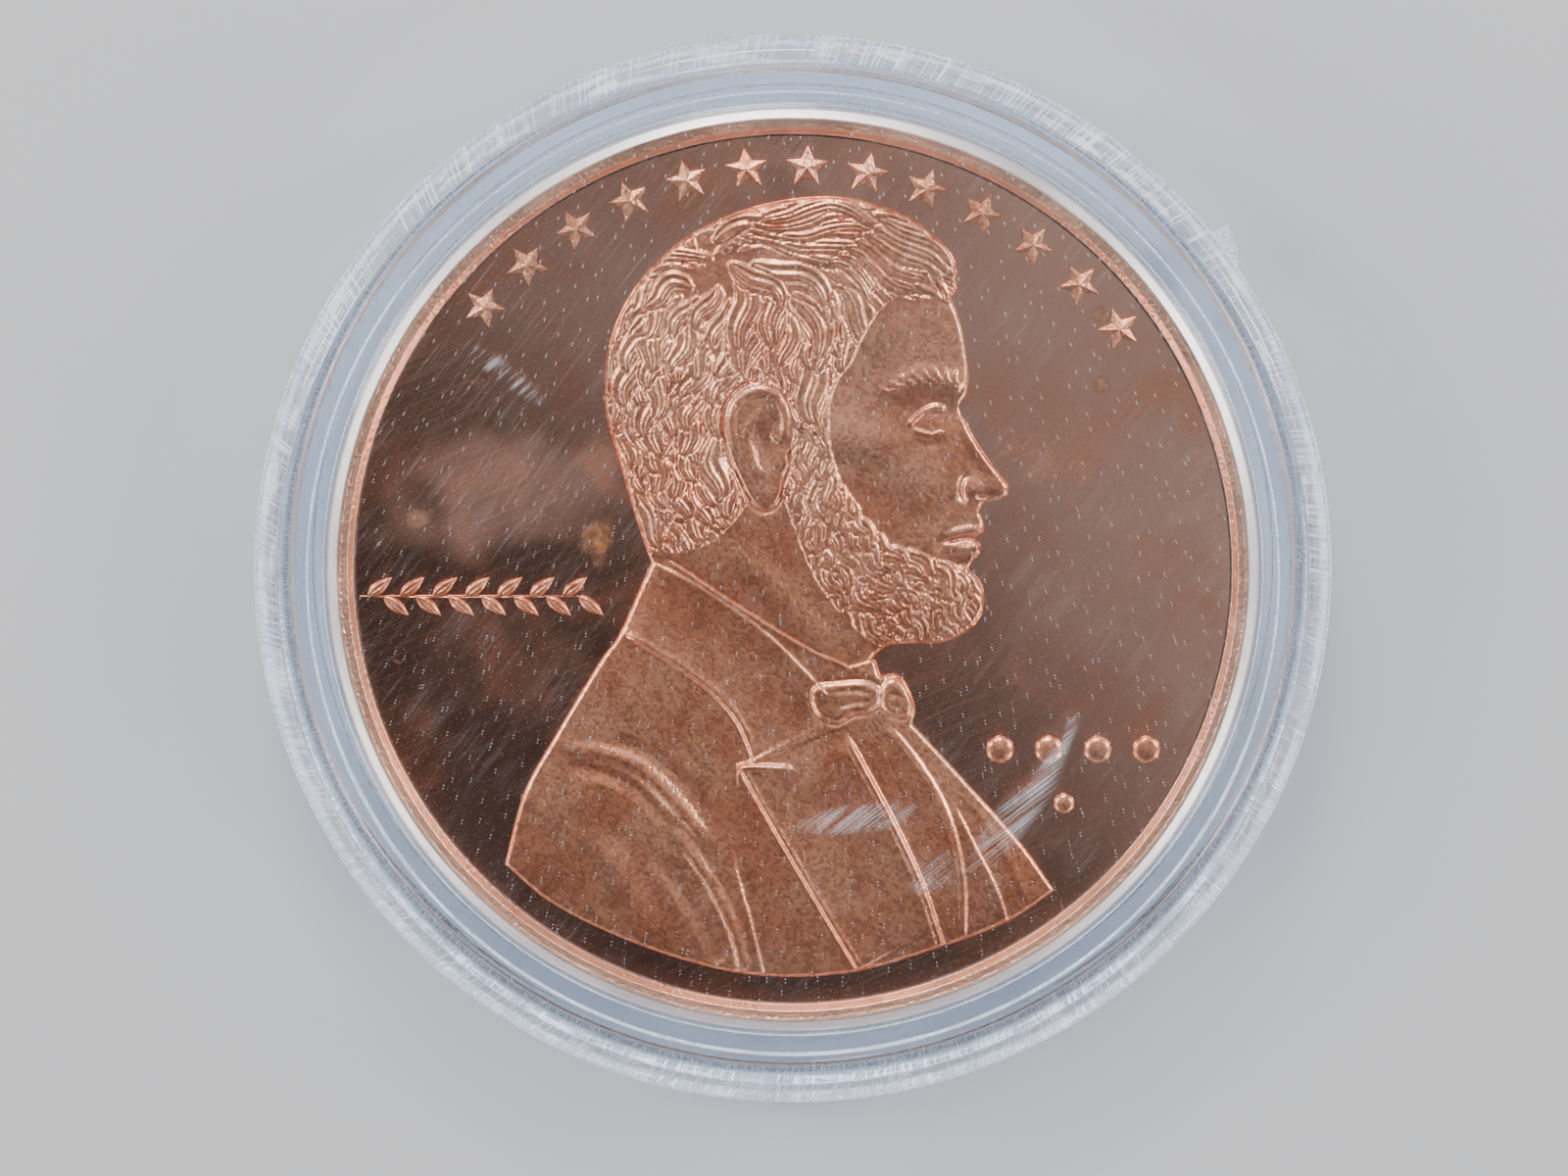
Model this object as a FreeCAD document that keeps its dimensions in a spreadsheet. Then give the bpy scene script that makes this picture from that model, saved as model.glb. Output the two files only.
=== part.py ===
import FreeCAD, Part
import Sketcher
import os

from FreeCAD import Placement, Rotation, Vector

# A clear two-shell coin capsule holding a struck copper round, in millimetres.
#
# The capsule lies on its back: +Z runs from the base to the lid along the coin's axis, and the
# origin is the middle of the base's underside. The top of the coin's portrait points to +Y.

# Driving dimensions: alias, value in millimetres (degrees for angles), what it is.
DIMENSIONS = [
    ("outer_diameter", 45.0, "capsule across the lid's wall"),
    ("base_inset", 0.25, "base's wall inside the lid's, a catch for a thumbnail"),
    ("coin_diameter", 39.0, "coin across its edge"),
    ("coin_thickness", 3.3, "coin over its two rims"),
    ("coin_rim_height", 0.42, "rim above the field, each face"),
    ("coin_rim_width", 1.1, "rim, from the coin's edge to the field"),
    ("coin_rim_slope", 0.25, "width of the rim's inner slope"),
    ("coin_edge_round", 0.2, "round where the rim meets the edge"),
    ("seat_gap", 0.2, "between the coin's edge and the seat wall, each side"),
    ("floor_gap", 0.03, "under the coin"),
    ("head_gap", 0.12, "over the coin"),
    ("window_thickness", 1.2, "flat window of each shell"),
    ("window_recess", 0.3, "window below the shell's rim"),
    ("window_radius", 20.18, "flat of the recessed window"),
    ("recess_slope", 0.1, "width of the slope from window to rim"),
    ("bevel_start", 1.0, "where the bevel starts, in from the outer wall"),
    ("bevel_width", 0.8, "width of the bevel's flatter slope"),
    ("bevel_drop", 0.7, "depth of the bevel's flatter slope"),
    ("bevel_height", 1.15, "depth at which the straight wall starts"),
    ("bevel_round", 0.3, "round at the bevel's two corners"),
    ("seam_height", 3.72, "top of the base's wall"),
    ("seam_gap", 0.05, "between the two walls"),
    ("seam_chamfer", 0.15, "chamfer on each wall at the seam"),
    ("step_height", 2.4, "ledge under the lid's spigot"),
    ("spigot_clear", 0.1, "spigot's end above the ledge"),
    ("spigot_radius", 21.08, "lid's spigot, outside"),
    ("spigot_fit", 0.04, "between spigot and base, each side"),
    ("lead_in", 0.22, "chamfer on the spigot's end and the base's mouth"),
    ("floor_round", 0.12, "round in the base's inner corner"),
    ("ceiling_round", 0.25, "round in the lid's inner corner"),
    ("gate_angle", 36.4, "where the moulding gate was snapped off, from +X"),
    ("gate_root", 0.3, "gate stub's root inside the wall"),
    ("gate_width", 1.8, "gate stub along the wall"),
    ("gate_short", 0.55, "gate stub out of the wall, at one side"),
    ("gate_long", 1.05, "gate stub out of the wall, at the other side"),
    ("gate_bottom", 1.8, "underside of the gate stub"),
    ("gate_depth", 0.8, "gate stub's height"),
    ("portrait_relief", 0.25, "mean height of the portrait above the field"),
    ("ornament_relief", 0.2, "height of the small ornaments"),
    ("star_radius", 0.85, "star, centre to point"),
    ("star_waist", 0.42, "star, centre to inner corner"),
    ("star_circle", 17.0, "circle that the stars stand on"),
    ("star_first", 37.0, "angle of the first star, from +X"),
    ("star_pitch", 8.5, "angle from star to star"),
    ("star_count", 13, "stars in the arc"),
    ("sprig_across", -17.0, "middle of the sprig's outermost leaf, along X"),
    ("sprig_up", -1.0, "middle of the sprig, along Y"),
    ("leaf_length", 1.25, "leaf in the sprig"),
    ("leaf_half_width", 0.32, "half of the leaf's width"),
    ("leaf_pitch", 1.4, "from leaf to leaf"),
    ("leaf_count", 7, "leaves in the sprig"),
    ("bead_across", 8.7, "first bead before the chest, along X"),
    ("bead_up", -7.5, "row of beads, along Y"),
    ("bead_radius", 0.6, "bead in the row"),
    ("bead_pitch", 2.05, "from bead to bead"),
    ("bead_count", 4, "beads in the row"),
    ("wreath_radius", 15.8, "circle of leaves on the reverse"),
    ("wreath_leaf_length", 2.6, "leaf in that circle"),
    ("wreath_leaf_half_width", 0.6, "half of that leaf's width"),
    ("wreath_count", 28, "leaves in that circle"),
]

SLACK = 1e-4  # two lengths closer than this are the same, in millimetres

# Outline of the portrait, drawn for a coin of PORTRAIT_COIN millimetres. Each run is smooth,
# and the outline's corners fall between runs.
PORTRAIT_COIN = 39.0
PORTRAIT_RUNS = [
    # nape, back of the hair, crown and forelock
    [(-6.1, 1.7), (-7.3, 4.4), (-7.9, 7.4), (-7.2, 10.8), (-5.1, 13.6), (-2.0, 15.3),
     (1.5, 15.6), (4.6, 14.7), (6.6, 12.9), (6.75, 11.9)],
    # forehead, brow and the slope of the nose
    [(6.75, 11.9), (7.05, 10.2), (7.2, 8.4), (6.85, 7.1), (7.9, 5.2), (8.9, 3.8)],
    # nose base, lips and the beard under the chin
    [(8.9, 3.8), (7.75, 3.0), (7.95, 2.2), (7.55, 1.5), (7.75, 0.9), (7.2, 0.1),
     (7.7, -1.2), (6.9, -2.6), (5.0, -3.1), (3.6, -3.2)],
    # throat and the knot of the tie
    [(3.6, -3.2), (3.3, -4.2), (4.5, -4.3), (5.2, -5.1), (4.8, -6.0)],
    # chest
    [(4.8, -6.0), (8.1, -9.8), (11.1, -13.7)],
    # cut-off under the bust, which follows the rim
    [(11.1, -13.7), (5.5, -16.2), (-1.1, -17.1), (-7.6, -15.6), (-12.2, -12.5)],
    # back of the coat, shoulder and collar
    [(-12.2, -12.5), (-11.5, -9.8), (-9.2, -5.5), (-7.1, -2.0), (-5.6, 0.9), (-6.1, 1.7)],
]

# Heights and radii that several sketches share, as expressions on the sheet.
LID_RADIUS = "(dims.outer_diameter / 2)"
BASE_RADIUS = f"({LID_RADIUS} - dims.base_inset)"
COIN_RADIUS = "(dims.coin_diameter / 2)"
SEAT_RADIUS = f"({COIN_RADIUS} + dims.seat_gap)"
RIM_INSIDE = "(dims.window_radius + dims.recess_slope)"
BORE_RADIUS = "(dims.spigot_radius + dims.spigot_fit)"
LID_BEVEL = f"({LID_RADIUS} - dims.bevel_start)"
BASE_BEVEL = f"({BASE_RADIUS} - dims.bevel_start)"
BASE_FLOOR = "(dims.window_recess + dims.window_thickness)"
COIN_BOTTOM = f"({BASE_FLOOR} + dims.floor_gap)"
COIN_TOP = f"({COIN_BOTTOM} + dims.coin_thickness)"
FIELD_BOTTOM = f"({COIN_BOTTOM} + dims.coin_rim_height)"
FIELD_TOP = f"({COIN_TOP} - dims.coin_rim_height)"
LID_CEILING = f"({COIN_TOP} + dims.head_gap)"
TOTAL_HEIGHT = f"({LID_CEILING} + dims.window_thickness + dims.window_recess)"


def make_sheet(doc):
    """Spreadsheet of driving dimensions, each cell a plain number with an alias."""
    sheet = doc.addObject("Spreadsheet::Sheet", "dims")
    for row, (alias, value, meaning) in enumerate(DIMENSIONS, start=1):
        sheet.set(f"A{row}", meaning)
        sheet.set(f"B{row}", str(value))
        sheet.setAlias(f"B{row}", alias)
    doc.recompute()


def value_of(holder, expression):
    """Number that an expression on the sheet has now."""
    found = holder.evalExpression(expression)
    return float(getattr(found, "Value", found))


def new_body(doc, label):
    """Empty PartDesign body whose label names its file."""
    body = doc.addObject("PartDesign::Body", label)
    body.Label = label
    return body


def new_sketch(body, name, role, lift=None, turn=None):
    """Sketch on one of the body's origin planes, lifted off it and turned on it on request."""
    plane = next(feature for feature in body.Origin.OriginFeatures if feature.Role == role)
    sketch = body.newObject("Sketcher::SketchObject", name)
    sketch.AttachmentSupport = (plane, [""])
    sketch.MapMode = "FlatFace"
    if turn:
        sketch.AttachmentOffset = Placement(Vector(), Rotation(Vector(0, 0, 1), 1.0))
        sketch.setExpression("AttachmentOffset.Rotation.Angle", turn)
    if lift:
        sketch.setExpression("AttachmentOffset.Base.z", lift)
    return sketch


def pin_point(sketch, edge, end, axis, expression):
    """Ties one coordinate of an edge's end to the sheet. A coordinate of zero is put on the axis."""
    value = value_of(sketch, expression)
    if abs(value) < SLACK:
        axis_line = -2 if axis == "X" else -1
        sketch.addConstraint(Sketcher.Constraint("PointOnObject", edge, end, axis_line))
        return
    row = sketch.addConstraint(Sketcher.Constraint("Distance" + axis, -1, 1, edge, end, value))
    sketch.setExpression(f"Constraints[{row}]", expression)


def pin_radius(sketch, edge, expression):
    """Ties the radius of a circle or an arc to the sheet."""
    value = value_of(sketch, expression)
    row = sketch.addConstraint(Sketcher.Constraint("Radius", edge, value))
    sketch.setExpression(f"Constraints[{row}]", expression)


def draw_polygon(sketch, corners):
    """Closed outline of straight lines through corners given as pairs of expressions."""
    points = [Vector(value_of(sketch, x), value_of(sketch, y), 0) for x, y in corners]
    count = len(points)
    for i in range(count):
        sketch.addGeometry(Part.LineSegment(points[i], points[(i + 1) % count]), False)
    for i in range(count):
        sketch.addConstraint(Sketcher.Constraint("Coincident", i, 2, (i + 1) % count, 1))
    for i, (x, y) in enumerate(corners):
        pin_point(sketch, i, 1, "X", x)
        pin_point(sketch, i, 1, "Y", y)


def draw_circle(sketch, across, up, radius):
    """Circle whose centre and radius are expressions."""
    centre = Vector(value_of(sketch, across), value_of(sketch, up), 0)
    circle = Part.Circle(centre, Vector(0, 0, 1), value_of(sketch, radius))
    ring = sketch.addGeometry(circle, False)
    pin_point(sketch, ring, 3, "X", across)
    pin_point(sketch, ring, 3, "Y", up)
    pin_radius(sketch, ring, radius)


def draw_leaf(sketch, across, up, length, half_width):
    """Pointed leaf between two arcs, lying along the sketch's X, with its middle at the place."""
    x, y = value_of(sketch, across), value_of(sketch, up)
    half_length, half = value_of(sketch, length) / 2, value_of(sketch, half_width)
    stalk = Vector(x - half_length, y, 0)
    tip = Vector(x + half_length, y, 0)
    lower = sketch.addGeometry(Part.Arc(stalk, Vector(x, y - half, 0), tip), False)
    upper = sketch.addGeometry(Part.Arc(tip, Vector(x, y + half, 0), stalk), False)
    sketch.addConstraint(Sketcher.Constraint("Coincident", lower, 2, upper, 1))
    sketch.addConstraint(Sketcher.Constraint("Coincident", upper, 2, lower, 1))
    for end, side in ((1, "-"), (2, "+")):
        pin_point(sketch, lower, end, "X", f"{across} {side} {length} / 2")
        pin_point(sketch, lower, end, "Y", up)
    for arc in (lower, upper):
        pin_radius(sketch, arc, f"({length}^2 / 4 + {half_width}^2) / (2 * {half_width})")


def revolve(body, sketch, name):
    """Full turn of a profile about the sketch's own vertical axis."""
    turned = body.newObject("PartDesign::Revolution", name)
    turned.Profile = sketch
    turned.ReferenceAxis = (sketch, ["V_Axis"])
    turned.Angle = 360.0
    return turned


def pad(doc, body, sketch, name, length, downward=False):
    """Pad of a sketch by a length given as an expression."""
    raised = body.newObject("PartDesign::Pad", name)
    raised.Profile = sketch
    raised.setExpression("Length", length)
    raised.Reversed = downward
    doc.recompute()
    return raised


def round_rings(doc, body, feature, name, places, radius):
    """Fillet on circular edges, each place a (radius, height) pair of expressions."""
    doc.recompute()
    wanted = [(value_of(feature, ring), value_of(feature, height)) for ring, height in places]
    names = []
    for number, edge in enumerate(feature.Shape.Edges, start=1):
        curve = edge.Curve
        if not isinstance(curve, Part.Circle):
            continue
        for ring, height in wanted:
            if abs(curve.Radius - ring) < SLACK and abs(curve.Center.z - height) < SLACK:
                names.append(f"Edge{number}")
    if len(names) < len(wanted):
        raise RuntimeError(f"{name}: found {len(names)} of {len(wanted)} edges")
    fillet = body.newObject("PartDesign::Fillet", name)
    fillet.Base = (feature, names)
    fillet.setExpression("Radius", radius)
    return fillet


def repeat_round(body, sketch, feature, name, angle, count):
    """Turned copies of a feature about the coin's axis, spread over an angle."""
    ring = body.newObject("PartDesign::PolarPattern", name)
    ring.Originals = [feature]
    ring.Axis = (sketch, ["N_Axis"])
    ring.setExpression("Angle", angle)
    ring.setExpression("Occurrences", count)
    body.Tip = ring


def repeat_along(body, sketch, feature, name, pitch, count):
    """Row of copies of a feature along the sketch's own horizontal."""
    row = body.newObject("PartDesign::LinearPattern", name)
    row.Originals = [feature]
    row.Direction = (sketch, ["H_Axis"])
    row.setExpression("Length", f"{pitch} * ({count} - 1)")
    row.setExpression("Occurrences", count)
    body.Tip = row


def make_base(doc):
    """Lower shell: recessed window, bevelled rim, coin seat, ledge and the wall round the spigot."""
    body = new_body(doc, "capsule_base")
    sketch = new_sketch(body, "base_profile", "XZ_Plane")
    draw_polygon(sketch, [
        ("0", "dims.window_recess"),
        ("dims.window_radius", "dims.window_recess"),
        (RIM_INSIDE, "0"),
        (BASE_BEVEL, "0"),
        (f"{BASE_BEVEL} + dims.bevel_width", "dims.bevel_drop"),
        (BASE_RADIUS, "dims.bevel_height"),
        (BASE_RADIUS, "dims.seam_height - dims.seam_chamfer"),
        (f"{BASE_RADIUS} - dims.seam_chamfer", "dims.seam_height"),
        (f"{BORE_RADIUS} + dims.lead_in", "dims.seam_height"),
        (BORE_RADIUS, "dims.seam_height - dims.lead_in"),
        (BORE_RADIUS, "dims.step_height"),
        (SEAT_RADIUS, "dims.step_height"),
        (SEAT_RADIUS, BASE_FLOOR),
        ("0", BASE_FLOOR),
    ])
    shell = revolve(body, sketch, "base_shell")
    bevel = round_rings(doc, body, shell, "base_bevel_round",
                        [(BASE_BEVEL, "0"),
                         (f"{BASE_BEVEL} + dims.bevel_width", "dims.bevel_drop")],
                        "dims.bevel_round")
    round_rings(doc, body, bevel, "base_floor_round", [(SEAT_RADIUS, BASE_FLOOR)],
                "dims.floor_round")
    add_gate_stub(doc, body)
    return body


def add_gate_stub(doc, body):
    """Stub left where the runner was snapped off the base's wall, with a slanting break."""
    sketch = new_sketch(body, "gate_outline", "XY_Plane", lift="dims.gate_bottom",
                        turn="dims.gate_angle")
    root = f"({BASE_RADIUS} - dims.gate_root)"
    draw_polygon(sketch, [
        (root, "-dims.gate_width / 2"),
        (f"{BASE_RADIUS} + dims.gate_short", "-dims.gate_width / 2"),
        (f"{BASE_RADIUS} + dims.gate_long", "dims.gate_width / 2"),
        (root, "dims.gate_width / 2"),
    ])
    pad(doc, body, sketch, "gate_stub", "dims.gate_depth")


def make_lid(doc):
    """Upper shell: recessed window, bevelled rim, and the spigot that plugs into the base."""
    body = new_body(doc, "capsule_lid")
    spigot_end = "(dims.step_height + dims.spigot_clear)"
    flange = "(dims.seam_height + dims.seam_gap)"
    sketch = new_sketch(body, "lid_profile", "XZ_Plane")
    draw_polygon(sketch, [
        ("0", LID_CEILING),
        (SEAT_RADIUS, LID_CEILING),
        (SEAT_RADIUS, spigot_end),
        ("dims.spigot_radius - dims.lead_in", spigot_end),
        ("dims.spigot_radius", f"{spigot_end} + dims.lead_in"),
        ("dims.spigot_radius", flange),
        (f"{LID_RADIUS} - dims.seam_chamfer", flange),
        (LID_RADIUS, f"{flange} + dims.seam_chamfer"),
        (LID_RADIUS, f"{TOTAL_HEIGHT} - dims.bevel_height"),
        (f"{LID_BEVEL} + dims.bevel_width", f"{TOTAL_HEIGHT} - dims.bevel_drop"),
        (LID_BEVEL, TOTAL_HEIGHT),
        (RIM_INSIDE, TOTAL_HEIGHT),
        ("dims.window_radius", f"{TOTAL_HEIGHT} - dims.window_recess"),
        ("0", f"{TOTAL_HEIGHT} - dims.window_recess"),
    ])
    shell = revolve(body, sketch, "lid_shell")
    bevel = round_rings(doc, body, shell, "lid_bevel_round",
                        [(LID_BEVEL, TOTAL_HEIGHT),
                         (f"{LID_BEVEL} + dims.bevel_width", f"{TOTAL_HEIGHT} - dims.bevel_drop")],
                        "dims.bevel_round")
    round_rings(doc, body, bevel, "lid_ceiling_round", [(SEAT_RADIUS, LID_CEILING)],
                "dims.ceiling_round")
    return body


def make_coin(doc):
    """Struck copper round: a rim on each face, a portrait with ornaments, and a reverse wreath."""
    body = new_body(doc, "coin")
    field_radius = f"({COIN_RADIUS} - dims.coin_rim_width)"
    rim_top = f"({field_radius} + dims.coin_rim_slope)"
    sketch = new_sketch(body, "coin_profile", "XZ_Plane")
    draw_polygon(sketch, [
        ("0", FIELD_BOTTOM),
        (field_radius, FIELD_BOTTOM),
        (rim_top, COIN_BOTTOM),
        (COIN_RADIUS, COIN_BOTTOM),
        (COIN_RADIUS, COIN_TOP),
        (rim_top, COIN_TOP),
        (field_radius, FIELD_TOP),
        ("0", FIELD_TOP),
    ])
    blank = revolve(body, sketch, "coin_blank")
    round_rings(doc, body, blank, "coin_edge_rounds",
                [(COIN_RADIUS, COIN_BOTTOM), (COIN_RADIUS, COIN_TOP)], "dims.coin_edge_round")
    add_portrait(doc, body)
    add_star_arc(doc, body)
    add_leaf_sprig(doc, body)
    add_bead_row(doc, body)
    add_wreath(doc, body)
    return body


def add_portrait(doc, body):
    """Portrait as one raised area with the portrait's outline, at its mean height."""
    sketch = new_sketch(body, "portrait_outline", "XY_Plane", lift=FIELD_TOP)
    scale = value_of(body, "dims.coin_diameter") / PORTRAIT_COIN
    for run in PORTRAIT_RUNS:
        curve = Part.BSplineCurve()
        curve.interpolate([Vector(x * scale, y * scale, 0) for x, y in run])
        sketch.addGeometry(curve, False)
    pad(doc, body, sketch, "portrait", "dims.portrait_relief")


def star_corners():
    """Corners of a five-pointed star with its middle on the star circle, as expressions."""
    corners = []
    for i in range(10):
        size = "dims.star_radius" if i % 2 == 0 else "dims.star_waist"
        angle = f"{36 * i} deg"
        corners.append((f"dims.star_circle + {size} * cos({angle})", f"{size} * sin({angle})"))
    return corners


def add_star_arc(doc, body):
    """Arc of stars over the portrait's head."""
    sketch = new_sketch(body, "star_outline", "XY_Plane", lift=FIELD_TOP, turn="dims.star_first")
    draw_polygon(sketch, star_corners())
    star = pad(doc, body, sketch, "star", "dims.ornament_relief")
    repeat_round(body, sketch, star, "star_arc", "dims.star_pitch * (dims.star_count - 1)",
                 "dims.star_count")


def add_leaf_sprig(doc, body):
    """Row of leaves behind the portrait's neck."""
    sketch = new_sketch(body, "sprig_outline", "XY_Plane", lift=FIELD_TOP)
    draw_leaf(sketch, "dims.sprig_across", "dims.sprig_up", "dims.leaf_length",
              "dims.leaf_half_width")
    leaf = pad(doc, body, sketch, "sprig_leaf", "dims.ornament_relief")
    repeat_along(body, sketch, leaf, "sprig", "dims.leaf_pitch", "dims.leaf_count")


def add_bead_row(doc, body):
    """Row of beads in front of the portrait's chest."""
    sketch = new_sketch(body, "bead_outline", "XY_Plane", lift=FIELD_TOP)
    draw_circle(sketch, "dims.bead_across", "dims.bead_up", "dims.bead_radius")
    bead = pad(doc, body, sketch, "bead", "dims.ornament_relief")
    repeat_along(body, sketch, bead, "bead_row", "dims.bead_pitch", "dims.bead_count")


def add_wreath(doc, body):
    """Circle of leaves on the reverse."""
    sketch = new_sketch(body, "wreath_outline", "XY_Plane", lift=FIELD_BOTTOM)
    draw_leaf(sketch, "0", "dims.wreath_radius", "dims.wreath_leaf_length",
              "dims.wreath_leaf_half_width")
    leaf = pad(doc, body, sketch, "wreath_leaf", "dims.ornament_relief", downward=True)
    repeat_round(body, sketch, leaf, "wreath", "360", "dims.wreath_count")


def check(doc, bodies):
    """Stops if an object failed or a body isn't one sound solid."""
    for item in doc.Objects:
        if {"Invalid", "Error"} & set(item.State):
            raise RuntimeError(f"{item.Label} failed: {item.State}")
    for body in bodies:
        shape = body.Shape
        if shape.isNull() or not shape.isValid() or len(shape.Solids) != 1:
            raise RuntimeError(f"{body.Label} isn't one valid solid")
        box = shape.BoundBox
        print(f"{body.Label}: {shape.Volume:.1f} mm3, z {box.ZMin:.2f} to {box.ZMax:.2f}")


def main():
    doc = FreeCAD.newDocument("coin_capsule")
    make_sheet(doc)
    bodies = [make_base(doc), make_lid(doc), make_coin(doc)]
    doc.recompute()
    check(doc, bodies)
    os.makedirs("parts", exist_ok=True)
    for body in bodies:
        body.Shape.exportStep(os.path.join("parts", body.Label + ".step"))


main()
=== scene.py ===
import math

import bpy
import bmesh
import numpy as np
from mathutils import Matrix, Vector


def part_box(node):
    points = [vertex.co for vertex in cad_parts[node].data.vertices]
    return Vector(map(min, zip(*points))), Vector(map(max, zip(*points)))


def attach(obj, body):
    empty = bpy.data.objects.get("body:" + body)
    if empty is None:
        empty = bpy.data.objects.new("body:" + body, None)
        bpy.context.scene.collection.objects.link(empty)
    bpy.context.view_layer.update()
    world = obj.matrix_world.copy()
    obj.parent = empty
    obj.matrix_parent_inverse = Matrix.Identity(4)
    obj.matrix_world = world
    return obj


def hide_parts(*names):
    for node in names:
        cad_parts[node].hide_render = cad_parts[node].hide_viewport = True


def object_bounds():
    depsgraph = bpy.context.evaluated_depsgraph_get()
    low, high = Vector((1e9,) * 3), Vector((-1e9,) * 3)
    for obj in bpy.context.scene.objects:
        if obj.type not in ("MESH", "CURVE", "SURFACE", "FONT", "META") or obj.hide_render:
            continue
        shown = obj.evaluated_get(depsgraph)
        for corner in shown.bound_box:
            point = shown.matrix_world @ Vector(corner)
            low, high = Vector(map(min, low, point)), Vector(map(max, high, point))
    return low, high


# Clear two-shell coin capsule with a struck copper round in it. Shapes are worked out in
# millimetres round the capsule's axis and turned into metres when a mesh is made.

mm = 0.001
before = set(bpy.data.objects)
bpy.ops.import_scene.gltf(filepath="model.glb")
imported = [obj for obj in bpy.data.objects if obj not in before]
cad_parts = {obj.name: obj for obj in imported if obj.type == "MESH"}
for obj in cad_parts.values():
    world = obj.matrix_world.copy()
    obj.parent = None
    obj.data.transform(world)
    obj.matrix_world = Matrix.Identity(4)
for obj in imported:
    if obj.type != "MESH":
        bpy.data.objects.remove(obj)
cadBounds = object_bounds()


def boxInMm(node):
    low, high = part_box(node)
    return low / mm, high / mm


baseLow, baseHigh = boxInMm("capsule_base")
lidLow, lidHigh = boxInMm("capsule_lid")
coinLow, coinHigh = boxInMm("coin")
print("frame loaded")


class Socket:  # output of a node that can stand in arithmetic
    def __init__(self, graph, port):
        self.graph = graph
        self.port = port

    def to(self, name):
        return Socket(self.graph, self.port.node.outputs[name])

    def math(self, operation, *values):
        return self.graph.add("ShaderNodeMath", {"operation": operation}, dict(enumerate(values)))

    def __add__(self, other):
        return self.math("ADD", self, other)

    def __radd__(self, other):
        return self.math("ADD", other, self)

    def __sub__(self, other):
        return self.math("SUBTRACT", self, other)

    def __rsub__(self, other):
        return self.math("SUBTRACT", other, self)

    def __mul__(self, other):
        return self.math("MULTIPLY", self, other)

    def __rmul__(self, other):
        return self.math("MULTIPLY", other, self)

    def __truediv__(self, other):
        return self.math("DIVIDE", self, other)

    def __pow__(self, other):
        return self.math("POWER", self, other)

    def highest(self, other):
        return self.math("MAXIMUM", self, other)

    def sine(self):
        return self.math("SINE", self)

    def cosine(self):
        return self.math("COSINE", self)

    def ramp(self, low, high):  # 0 at low, 1 at high, smooth between
        settings = {"interpolation_type": "SMOOTHSTEP"}
        return self.graph.add("ShaderNodeMapRange", settings, {0: self, 1: low, 2: high, 3: 0.0, 4: 1.0})


class Graph:  # node tree built by calls
    def __init__(self, tree):
        self.tree = tree

    def add(self, kind, settings=None, inputs=None, out=0):
        node = self.tree.nodes.new(kind)
        for name, value in (settings or {}).items():
            setattr(node, name, value)
        for name, value in (inputs or {}).items():
            if isinstance(value, Socket):
                self.tree.links.new(value.port, node.inputs[name])
            else:
                node.inputs[name].default_value = value
        return Socket(self, node.outputs[out]) if len(node.outputs) else None

    def place(self):  # where the surface is on the object, in millimetres
        return self.scaled(self.add("ShaderNodeTexCoord", out="Object"), (1 / mm,) * 3)

    def scaled(self, vector, factors):
        return self.add("ShaderNodeVectorMath", {"operation": "MULTIPLY"}, {0: vector, 1: factors})

    def vector(self, x, y, z):
        return self.add("ShaderNodeCombineXYZ", {}, {0: x, 1: y, 2: z})

    def parts(self, vector):
        x = self.add("ShaderNodeSeparateXYZ", {}, {0: vector})
        return x, x.to("Y"), x.to("Z")

    def noise(self, vector, scale, detail=2.0, rough=0.5, bend=0.0):
        inputs = {"Vector": vector, "Scale": scale, "Detail": detail, "Roughness": rough,
                  "Distortion": bend}
        return self.add("ShaderNodeTexNoise", {"noise_dimensions": "2D"}, inputs)

    def cells(self, vector, scale):
        inputs = {"Vector": vector, "Scale": scale}
        return self.add("ShaderNodeTexVoronoi", {"voronoi_dimensions": "2D"}, inputs)

    def blend(self, factor, first, second):
        return self.add("ShaderNodeMix", {"data_type": "RGBA"}, {0: factor, 6: first, 7: second}, out=2)

    def bump(self, height, depth):
        inputs = {"Height": height, "Distance": depth * mm, "Strength": 1.0}
        return self.add("ShaderNodeBump", {}, inputs)

    def hairlines(self, place, turn, length, width, low, high):
        # straight scratches at one angle; length and width in millimetres
        x, y, _ = self.parts(place)
        c, s = math.cos(math.radians(turn)), math.sin(math.radians(turn))
        spot = self.vector((x * c + y * s) / length, (y * c - x * s) / width, 0.0)
        return self.noise(spot, 1.0, 0.0).ramp(low, high)

    def patches(self, x, y, spots, soft):
        # sum of soft ellipses (x, y, half width, half height, turn, strength) on the surface
        total = None
        for px, py, wide, tall, turn, strength in spots:
            c, s = math.cos(math.radians(turn)), math.sin(math.radians(turn))
            across = ((x - px) * c + (y - py) * s) / wide
            up = ((y - py) * c - (x - px) * s) / tall
            one = (across * across + up * up).ramp(1.0, soft) * strength
            total = one if total is None else total + one
        return total


def newMaterial(name):
    material = bpy.data.materials.new(name)
    material.use_nodes = True
    material.node_tree.nodes.clear()
    return material, Graph(material.node_tree)


def finishMaterial(graph, surface):
    graph.add("ShaderNodeOutputMaterial", {}, {"Surface": surface})


def newObject(name, points, faces, edges=(), scale=mm):
    mesh = bpy.data.meshes.new(name)
    mesh.from_pydata([tuple(scale * c for c in p) for p in points], edges, faces)
    piece = bpy.data.objects.new(name, mesh)
    bpy.context.scene.collection.objects.link(piece)
    return piece


weldGap = 2e-7  # metres


def closeUp(piece, sharp=30):  # weld, face outward, shade smooth with sharp edges kept
    shape = bmesh.new()
    shape.from_mesh(piece.data)
    bmesh.ops.remove_doubles(shape, verts=shape.verts, dist=weldGap)
    bmesh.ops.recalc_face_normals(shape, faces=shape.faces)
    shape.to_mesh(piece.data)
    shape.free()
    piece.data.shade_smooth()
    piece.data.set_sharp_from_angle(angle=math.radians(sharp))


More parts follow.
